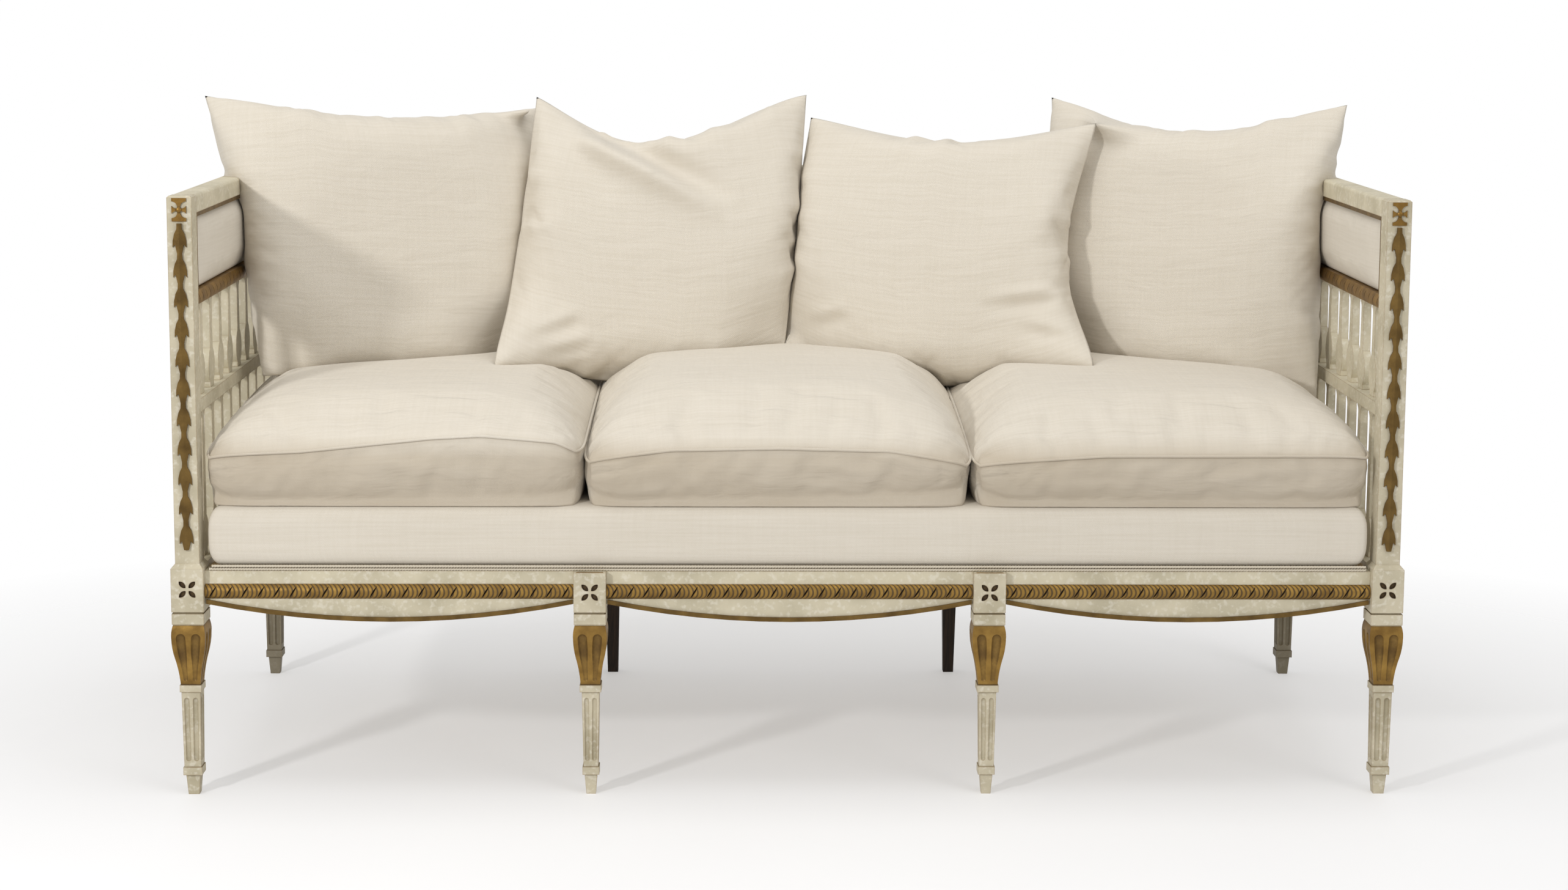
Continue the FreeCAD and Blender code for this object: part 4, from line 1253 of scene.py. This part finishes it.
@dataclass
class SeatCushion:
    """A boxed feather cushion: soft crown, boxed border, a lipped seam between them.

    Seam and sole hold points of the front border's upper and lower edge, as X and Z. The panels are
    cut with some ease, and the border juts out, bellies and rolls under.
    """

    name: str
    span: tuple[float, float]
    seam: Sequence[tuple[float, float]]
    crown: float
    sole: Sequence[tuple[float, float]]
    depth: tuple[float, float] = (-0.360, 0.322)
    rest: float = 0.4386
    back_seam: float = 0.552
    cells: tuple[int, int] = (60, 70)
    rows: int = 9
    ease: tuple[float, float] = (1.12, 1.10)
    border: float = 0.09
    crowding: float = 1.25
    corner: float = 0.07
    squareness: int = 16
    dome_power: int = 4
    end_power: int = 14
    jut: float = 0.011
    roll: float = 0.015
    belly: float = 0.02
    tuck: float = 0.008
    end_lift: float = 0.014
    end_drop: float = 0.005
    pucker: float = 0.0026
    crown_spare: float = 0.012
    lift_from: float = 0.53
    slip: float = 0.001
    lip: float = 0.0021
    lip_out: float = 0.0012
    filling: Filling = Filling(pressure=3.0, reach=0.018, frames=22, slack=0.022, bend=0.25)

    def puckers(self, x: np.ndarray, h: np.ndarray) -> np.ndarray:
        """Works out the uneven waves of a border, which differ from cushion to cushion.

        Args:
            x: Places along the border.
            h: Shares of its height.

        Returns:
            The waves, from -1 to 1.
        """
        drift = 0.45 * np.sin(8.0 * x + 90 * self.crown)
        strength = 0.6 + 0.4 * np.sin(19.0 * x)
        return np.sin(2 * np.pi * (2.3 * h + drift)) * strength

    def shape(self, a: np.ndarray, b: np.ndarray, h: np.ndarray) -> tuple[np.ndarray, np.ndarray]:
        """Works out where the points of a box lie on the cushion, before it is filled.

        Args:
            a: Shares of half the width, from the left at -1 to the right at 1.
            b: Shares of half the length, from the front at -1 to the back at 1.
            h: Shares of the border's height.

        Returns:
            The points, one row each, and the height of the seam at each of them.
        """
        width, length = self.span[1] - self.span[0], self.depth[1] - self.depth[0]
        rim = np.maximum(np.abs(a), np.abs(b)) > RIM
        a, b = (np.sin(self.crowding * share) / math.sin(self.crowding) for share in (a, b))
        jut = self.jut * h - self.roll * (1 - h) ** 3 + self.belly * h * (1 - h)
        bulge = 1 + jut * rim / (0.5 * length)
        across, along = (np.sqrt(1 - self.corner * np.abs(share) ** self.squareness) for share in (b, a))
        x = sum(self.span) / 2 + width / 2 * a * across
        y = sum(self.depth) / 2 + length / 2 * b * along * bulge
        front = np.clip((1 - b) / 2, 0, 1) ** 2
        end = np.abs(a) ** self.end_power
        seam = front * np.interp(x, *np.array(self.seam).T) + (1 - front) * self.back_seam
        seam = seam - self.end_drop * end
        low = self.rest + self.tuck + front * (np.interp(x, *np.array(self.sole).T) - self.rest)
        low = low + self.end_lift * end * rim
        fall = [np.clip(1 - np.abs(share) ** self.dome_power, 0, 1) for share in (a, b)]
        dome = seam + (self.crown - self.crown_spare - seam) * np.sqrt(fall[0] * fall[1])
        z = np.where(h > RIM, dome, low + (seam - low) * h)
        z = np.where((h < 1 - RIM) & ~rim, self.rest, z)
        y = y - self.pucker * self.puckers(x, h) * 4 * h * (1 - h) * rim * (b < 0)
        return np.stack([x, y, z], 1), seam

    def build(self) -> bpy.types.Object:
        """Cuts, boxes and fills the cushion, lifts its crown and sews its lip on.

        Returns:
            The finished cushion.
        """
        cut = [ease * (high - low) for ease, (low, high) in zip(self.ease, (self.span, self.depth))]
        cover = Bench.panel(self.name + "_cover", self.cells, (cut[0], cut[1]))
        Bench.box_up(cover, self.border, self.rows)
        Bench.weave(cover)
        a, b, h = (Bench.points(cover) / np.array([cut[0] / 2, cut[1] / 2, self.border])).T
        top, rim = h > RIM, np.maximum(np.abs(a), np.abs(b)) > RIM
        place, seam = self.shape(a, b, h)
        Bench.move(cover, place)
        self.filling.fill(cover, np.flatnonzero((h < 1 - RIM) | (top & rim)))
        at = Bench.points(cover)
        over = at[:, 2] > seam
        lift = (self.crown - self.lift_from) / max(at[:, 2].max() - self.lift_from, 1e-6)
        at[:, 2] = np.where(top & over, seam + (at[:, 2] - seam) * lift, at[:, 2])
        at[:, 0] = np.clip(at[:, 0], self.span[0] - self.slip, self.span[1] + self.slip)
        at[:, 2] = np.maximum(at[:, 2], self.rest)
        Bench.move(cover, at)
        Bench.smooth(cover)
        self.sew_lip(cover, at[top & rim])
        return cover

    def sew_lip(self, cover: bpy.types.Object, ring: np.ndarray) -> None:
        """Sews a thin fold of the cover along the seam.

        Args:
            cover: The cushion.
            ring: The seam's points.
        """
        middle = ring.mean(0)
        ring = ring[np.argsort(np.arctan2(ring[:, 1] - middle[1], ring[:, 0] - middle[0]))]
        out = ring - middle
        out[:, 2] = 0
        ring = ring + out / np.linalg.norm(out, axis=1, keepdims=True) * self.lip_out
        line = bpy.data.curves.new(self.name + "_lip", "CURVE")
        line.dimensions = "3D"
        line.bevel_depth = self.lip
        line.bevel_resolution = 2
        spline = line.splines.new("POLY")
        spline.points.add(len(ring) - 1)
        spline.points.foreach_set("co", np.c_[ring, np.ones(len(ring))].ravel())
        spline.use_cyclic_u = True
        lip = bpy.data.objects.new(self.name + "_lip", line)
        bpy.context.scene.collection.objects.link(lip)
        Bench.alone(lip)
        bpy.ops.object.convert(target="MESH")
        lip = bpy.context.object
        Bench.weave(lip)
        bpy.ops.object.shade_smooth()
        Bench.alone(cover)
        lip.select_set(True)
        bpy.ops.object.join()


@dataclass
class FixedPad:
    """Stuffing tacked to the frame under tight linen, in the space of its CAD node."""

    node: str
    across: int
    cells: tuple[int, int]
    rows: int
    edge: float = 0.5
    bulge: float = 0.0
    tuck: float = 0.0045
    proud: float = 0.002
    filling: Filling = Filling(pressure=2.0, reach=0.004, frames=10, slack=0.004, bend=1.0)

    def build(self) -> bpy.types.Object:
        """Makes the pad.

        Returns:
            The finished pad.
        """
        low, high = (np.array(corner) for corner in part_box(self.node))
        middle, half = (low + high) / 2, (high - low) / 2
        along = [axis for axis in range(3) if axis != self.across]
        wide, tall = (2 * half[axis] for axis in along)
        thick = 2 * half[self.across]
        cover = Bench.panel(self.node + "_cover", self.cells, (wide, tall))
        Bench.box_up(cover, thick, self.rows)
        Bench.weave(cover)
        at = Bench.points(cover)
        a, b, h = at[:, 0] / wide * 2, at[:, 1] / tall * 2, at[:, 2] / thick * 2 - 1
        dome = np.sqrt(np.clip(1 - np.abs(a) ** 8, 0, 1) * np.clip(1 - np.abs(b) ** 6, 0, 1))
        inset = 1 - (self.tuck * (1 - np.clip(1 - np.abs(h) ** 4, 0, 1))) / half[along[1]]
        belly = 1 + self.bulge * (1 - h * h) / half[along[1]]
        rise = half[self.across] * h * (self.edge + (1 - self.edge) * dome)
        place = np.zeros_like(at)
        place[:, along[0]] = middle[along[0]] + half[along[0]] * a * inset
        place[:, along[1]] = middle[along[1]] + half[along[1]] * b * inset * belly
        place[:, self.across] = middle[self.across] + rise
        Bench.move(cover, place)
        self.filling.fill(cover, np.flatnonzero(np.maximum(np.abs(a), np.abs(b)) > RIM))
        Bench.move(cover, np.clip(Bench.points(cover), low - self.proud, high + self.proud))
        Bench.merge(cover, gap=1e-7)
        Bench.smooth(cover)
        return cover


@dataclass
class CordedGimp:
    """The double gimp: two cords laid side by side, each of two twisted strands."""

    node: str = "deck_gimp"
    pitch: float = 0.0085
    around: int = 10
    steps: int = 7
    waist: float = 0.74
    stagger: float = 0.004

    def build(self) -> bpy.types.Object:
        """Twists one cord, copies it and lays both along the deck's lower edge.

        Returns:
            Both cords as one piece.
        """
        low, high = (np.array(corner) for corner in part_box(self.node))
        radius = (high[2] - low[2]) / 4
        bpy.ops.object.select_all(action="DESELECT")
        bpy.ops.mesh.primitive_circle_add(vertices=self.around, radius=radius)
        cord = bpy.context.object
        cord.name = cord.data.name = "deck_gimp_cords"
        at = Bench.points(cord)
        turn = np.arctan2(at[:, 1], at[:, 0])
        at *= (self.waist + (1 - self.waist) * np.abs(np.cos(turn)))[:, None]
        Bench.move(cord, at)
        turns = int((high[0] - low[0]) / self.pitch)
        Bench.finish(
            cord, "SCREW", "twist", axis="Z", screw_offset=(high[0] - low[0]) / turns, iterations=turns,
            steps=self.steps, render_steps=self.steps, use_smooth_shade=True,
        )
        at = Bench.points(cord)[:, [2, 1, 0]] + np.array([low[0], (low[1] + high[1]) / 2, low[2] + radius])
        Bench.move(cord, at)
        Bench.alone(cord)
        bpy.ops.object.mode_set(mode="EDIT")
        bpy.ops.mesh.select_all(action="SELECT")
        bpy.ops.mesh.duplicate_move(TRANSFORM_OT_translate={"value": (self.stagger, 0.0, 2 * radius)})
        bpy.ops.mesh.select_all(action="SELECT")
        bpy.ops.mesh.normals_make_consistent(inside=False)
        bpy.ops.object.mode_set(mode="OBJECT")
        at = Bench.points(cord)
        at[:, 0] = np.clip(at[:, 0], low[0], high[0])
        Bench.move(cord, at)
        Bench.weave(cord)
        return cord


@dataclass
class StretchedCloth:
    """A flat strap or sheet pulled tight under the seat."""

    name: str
    low: Sequence[float]
    high: Sequence[float]
    cell: float = 0.02
    sharp: float = 40.0

    def flat(self) -> tuple[float, float]:
        """The size that it was cut to."""
        return (self.high[0] - self.low[0], self.high[1] - self.low[1])

    def build(self) -> bpy.types.Object:
        """Cuts the cloth, and gives it its thickness.

        Returns:
            The finished sheet.
        """
        width, length = self.flat()
        cells = (max(2, round(width / self.cell)), max(2, round(length / self.cell)))
        cloth = Bench.panel(self.name, cells, (width, length))
        Bench.weave(cloth)
        middle = [(low + high) / 2 for low, high in zip(self.low, self.high)]
        Bench.move(cloth, Bench.points(cloth) + np.array(middle))
        Bench.finish(cloth, "SOLIDIFY", "thickness", thickness=self.high[2] - self.low[2], offset=0.0)
        Bench.alone(cloth)
        bpy.ops.object.shade_smooth_by_angle(angle=math.radians(self.sharp))
        return cloth


@dataclass
class Upholstery:
    """All the soft goods: seat under-layers, deck, fixed pads, loose cushions and pillows."""

    cushions: tuple[SeatCushion, ...] = (
        SeatCushion(
            "seat_cushion_left", (-0.867, -0.3087),
            ((-0.866, 0.517), (-0.72, 0.524), (-0.533, 0.544), (-0.459, 0.548), (-0.347, 0.539),
             (-0.313, 0.526)), 0.606,
            ((-0.86, 0.4386), (-0.55, 0.4386), (-0.31, 0.446)),
        ),
        SeatCushion(
            "seat_cushion_center", (-0.3067, 0.2707),
            ((-0.304, 0.511), (-0.176, 0.527), (-0.015, 0.530), (0.147, 0.526), (0.261, 0.508)), 0.617,
            ((-0.30, 0.4386), (0.0, 0.442), (0.27, 0.453)),
        ),
        SeatCushion(
            "seat_cushion_right", (0.2727, 0.867),
            ((0.283, 0.507), (0.467, 0.519), (0.843, 0.520)), 0.605,
            ((0.28, 0.442), (0.5, 0.4386), (0.86, 0.4386)),
        ),
    )
    pillows: tuple[BackPillow, ...] = (
        BackPillow(
            "back_pillow_mid_left", ((-261, -247), (213, -196), (250, 236), (-209, 217)),
            (50.0, 9.0, -92.0, 5.0), (-0.210, 0.207, 0.8052), 7.0, 0.0,
            folds=(((110, 25), (-165, 172), 34.0, 21.0), ((-95, 20), (-205, 200), 7.0, 24.0),
                   ((-235, -205), (-130, -165), 7.0, 11.0), ((-205, -228), (-110, -205), 6.0, 10.0)),
            skew=0.8, flops=((0, 130.0, 24.0),),
        ),
        BackPillow(
            "back_pillow_mid_right", ((-259, -214), (250, -224), (245, 194), (-241, 192)),
            (54.0, -40.0, -38.0, 17.0), (0.268, 0.197, 0.798), -12.0, -4.0,
            folds=(((70, -130), (205, -108), 9.0, 10.0), ((130, -160), (235, -175), 7.0, 11.0),
                   ((-225, -170), (-140, -150), 6.0, 11.0)),
            flops=((1, 92.0, 20.0),),
        ),
        BackPillow(
            "back_pillow_far_left", ((-214, -240), (212, -232), (292, 220), (-292, 213)),
            (4.0, 24.0, -26.0, -10.0), (-0.664, 0.132, 0.804), 28.0, 4.0,
        ),
        BackPillow(
            "back_pillow_far_right", ((-200, -215), (236, -272), (260, 215), (-259, 239)),
            (4.0, -14.0, -60.0, 22.0), (0.673, 0.170, 0.7994), -28.0, -5.0,
        ),
    )
    pads: tuple[FixedPad, ...] = (
        FixedPad("seat_deck", 2, (120, 44), 8, edge=1.0, bulge=0.005),
        *(FixedPad(f"arm_pad_{side}", 0, (56, 14), 5) for side in ("left", "right")),
        *(FixedPad(f"back_pad_{bay}", 1, (50, 14), 5) for bay in ("left", "center", "right")),
    )
    rigid: tuple[str, ...] = (
        "arm_top_rail_left", "arm_top_rail_right", "back_top_rail", "panel_beads",
        "front_post_left", "front_post_right", "rear_post_left", "rear_post_right",
        "arm_gilt_rail_left", "arm_gilt_rail_right", "back_gilt_rail",
        "back_upright_left", "back_upright_right",
        "arm_low_rail_left", "arm_low_rail_right", "back_low_rail",
    )
    webs_long: int = 9
    webs_cross: int = 3
    web_half: float = 0.025
    web_pitch: float = 0.190
    web_thick: float = 0.0018
    web_run: tuple[float, float] = (-0.354, 0.3435)

    def dress(self, piece: bpy.types.Object, body: str, node: str, slot: str,
              cloth: bpy.types.Material) -> None:
        """Gives a piece its cloth, and says what it rides on and stands for.

        Args:
            piece: The finished piece.
            body: The body that it goes with.
            node: The CAD node that it stands for.
            slot: Not used.
            cloth: Its material.
        """
        piece.data.materials.clear()
        piece.data.materials.append(cloth)
        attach(piece, body)
        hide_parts(node)
        LOG.info("%s: on %s, for %s", piece.name, body, node)

    def strap_edges(self, k: int, count: int) -> tuple[float, float]:
        """The two edges of one strap, in a row of straps that is centred on the seat."""
        middle = (k - (count - 1) / 2) * self.web_pitch
        return middle - self.web_half, middle + self.web_half

    def under_seat(self) -> None:
        """Stretches the webbing and the hessian across the seat frame."""
        jute = Sacking("jute_webbing", (0.50, 0.37, 0.20), (0.33, 0.225, 0.11), 0.0026, 0.5).material()
        sack = Sacking("hessian", (0.46, 0.335, 0.185), (0.27, 0.18, 0.085), 0.0019, 0.0).material()
        low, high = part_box("seat_webbing")
        for k in range(self.webs_long):
            left, right = self.strap_edges(k, self.webs_long)
            strap = StretchedCloth(
                f"webbing_long_{k + 1}", (left, self.web_run[0], low[2]),
                (right, self.web_run[1], low[2] + self.web_thick))
            self.stretch(strap, "seat_webbing", "jute_webbing", jute)
        for k in range(self.webs_cross):
            front, back = self.strap_edges(k, self.webs_cross)
            strap = StretchedCloth(
                f"webbing_cross_{k + 1}", (low[0], front, high[2] - self.web_thick),
                (high[0], back, high[2]))
            self.stretch(strap, "seat_webbing", "jute_webbing", jute)
        low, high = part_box("seat_hessian")
        self.stretch(StretchedCloth("hessian_sheet", low, high), "seat_hessian", "hessian", sack)

    def stretch(self, cloth: StretchedCloth, node: str, slot: str, material: bpy.types.Material) -> None:
        """Makes one sheet and dresses it.

        Args:
            cloth: The sheet.
            node: The CAD node that it stands for.
            slot: The slot of its finish.
            material: Its material.
        """
        piece = cloth.build()
        self.dress(piece, "frame", node, slot, material)
        cloth.flat()

    def build(self, nodes: dict[str, bpy.types.Object]) -> None:
        """Makes and dresses every soft piece, each after what it gives way to.

        Args:
            nodes: The CAD nodes by name.
        """
        linen = Linen("linen").material()
        tight = Linen("linen_tight", crease=0.0006).material()
        seat = Linen("linen_seat", crease=0.0065, border_darkening=0.62).material()
        self.under_seat()
        gimp = CordedGimp().build()
        self.dress(gimp, "frame", "deck_gimp", "gimp", Gimp().material())
        around = Yielding()
        for pad in self.pads:
            piece = pad.build()
            self.dress(piece, "frame", pad.node, "linen", tight)
            around.add(piece)
        for name in self.rigid:
            around.add(nodes[name])
        pillows = []
        for pillow in self.pillows:
            piece = pillow.build()
            left = around.press(piece)
            Bench.smooth(piece)
            around.add(piece)
            self.dress(piece, pillow.name, pillow.name, "linen", linen)
            pillows.append(piece)
            LOG.info("%s: %d points gave way in the last round", pillow.name, left)
        for cushion in self.cushions:
            piece = cushion.build()
            under = around.sink(piece, pillows)
            self.dress(piece, cushion.name, cushion.name, "linen", seat)
            LOG.info("%s: %d points under the pillows", cushion.name, under)


@dataclass(frozen=True)
class SoftBox:
    """A soft box of the studio, which points at a place on the sofa."""

    name: str
    place: tuple[float, float, float]
    target: tuple[float, float, float]
    size: tuple[float, float]
    watts: float

    def hang(self) -> None:
        """Hangs the soft box and turns it to its target."""
        data = bpy.data.lights.new(self.name, "AREA")
        data.shape = "RECTANGLE"
        data.size, data.size_y = self.size
        data.energy = self.watts
        lamp = bpy.data.objects.new(self.name, data)
        lamp.location = self.place
        aim = Vector(self.target) - Vector(self.place)
        lamp.rotation_euler = aim.to_track_quat("-Z", "Y").to_euler()
        bpy.context.scene.collection.objects.link(lamp)


@dataclass
class Studio:
    """Pale floor that fades out, soft lights and the camera at the photograph's angle."""

    eye: tuple[float, float, float] = (-0.0834, -4.195, 1.2044)
    yaw: float = 1.084
    pitch: float = 7.19
    roll: float = 0.298
    focal_pixels: float = 4297.7
    frame_width: float = 2566.0
    sensor: float = 36.0
    rise: float = -0.08
    floor_size: float = 40.0
    floor_opacity: float = 0.66
    floor_tones: tuple[Colour, Colour] = ((0.955, 0.945, 0.945), (0.97, 0.962, 0.962))
    floor_reach: tuple[float, float] = (2.3, 1.9)
    floor_ahead: float = 0.3
    floor_fade: tuple[float, float] = (0.30, 1.0)
    sky_light: float = 0.60
    sky_seen: float = 1.0
    soft_boxes: tuple[SoftBox, ...] = (
        SoftBox("front_left", (-2.7, -3.3, 2.1), (-0.2, 0.0, 0.6), (0.3, 0.3), 66.0),
        SoftBox("front_right", (3.2, -3.6, 2.6), (0.2, 0.0, 0.5), (1.8, 1.6), 30.0),
        SoftBox("front_low", (0.0, -3.6, 0.45), (0.0, 0.3, 0.1), (3.6, 0.6), 4.0),
        SoftBox("overhead", (0.0, -0.5, 3.4), (0.0, 0.0, 0.0), (3.4, 2.0), 34.0),
    )

    def floor(self) -> None:
        """Lays a wide pale floor that fades into the sky."""
        bpy.ops.object.select_all(action="DESELECT")
        bpy.ops.mesh.primitive_plane_add(size=self.floor_size, location=(0.0, 0.0, 0.0))
        floor = bpy.context.object
        floor.name = "studio_floor"
        graph = Graph("studio_floor")
        at = graph.place()
        cloud = graph.noise(at, 1.2, 2.0)
        colour = graph.mix(cloud.spread(0.4, 0.6), *self.floor_tones)
        x, y, _ = graph.axes(at)
        wide, deep = self.floor_reach
        away = ((x / wide) ** 2 + ((y + self.floor_ahead) / deep) ** 2).spread(*self.floor_fade)
        coat = Coat(colour, cloud * 0.1 + 0.55, 0.0, cloud * 0.0001)
        opacity = self.floor_opacity - self.floor_opacity * away
        floor.data.materials.append(graph.shade(coat, Alpha=opacity))

    def light(self) -> None:
        """Lights the set: a sky all round, which the camera sees as white, and the soft boxes."""
        world = bpy.data.worlds.new("studio")
        bpy.context.scene.world = world
        world.use_nodes = True
        tree = world.node_tree
        sky = tree.nodes["Background"]
        sky.inputs["Color"].default_value = (1.0, 1.0, 1.0, 1.0)
        power = tree.nodes.new("ShaderNodeMapRange")
        power.inputs["To Min"].default_value = self.sky_light
        power.inputs["To Max"].default_value = self.sky_seen
        seen = tree.nodes.new("ShaderNodeLightPath").outputs["Is Camera Ray"]
        tree.links.new(seen, power.inputs["Value"])
        tree.links.new(power.outputs["Result"], sky.inputs["Strength"])
        for soft_box in self.soft_boxes:
            soft_box.hang()

    def camera(self) -> None:
        """Sets the camera, which the scene then uses."""
        yaw, pitch, roll = (math.radians(v) for v in (self.yaw, self.pitch, self.roll))
        level = math.cos(pitch)
        ahead = Vector((math.sin(yaw) * level, math.cos(yaw) * level, -math.sin(pitch)))
        right = Vector((math.cos(yaw), -math.sin(yaw), 0.0))
        up = right.cross(ahead)
        across = math.cos(roll) * right + math.sin(roll) * up
        upright = -math.sin(roll) * right + math.cos(roll) * up
        data = bpy.data.cameras.new("camera")
        data.sensor_width = self.sensor
        data.lens = self.sensor * self.focal_pixels / self.frame_width
        data.shift_y = self.rise
        data.clip_end = 100.0
        camera = bpy.data.objects.new("camera", data)
        turn = Matrix((across, upright, -ahead)).transposed().to_4x4()
        camera.matrix_world = Matrix.Translation(Vector(self.eye)) @ turn
        bpy.context.scene.collection.objects.link(camera)
        bpy.context.scene.camera = camera


def main() -> None:
    """Loads the frame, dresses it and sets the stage."""
    logging.basicConfig(level=logging.INFO, format="%(name)s: %(message)s")
    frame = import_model()
    PaintedFrame().dress(frame["nodes"])
    Upholstery().build(frame["nodes"])
    studio = Studio()
    studio.floor()
    studio.light()
    studio.camera()
    bpy.context.scene.view_settings.view_transform = "Standard"


if __name__ == "__main__":
    main()
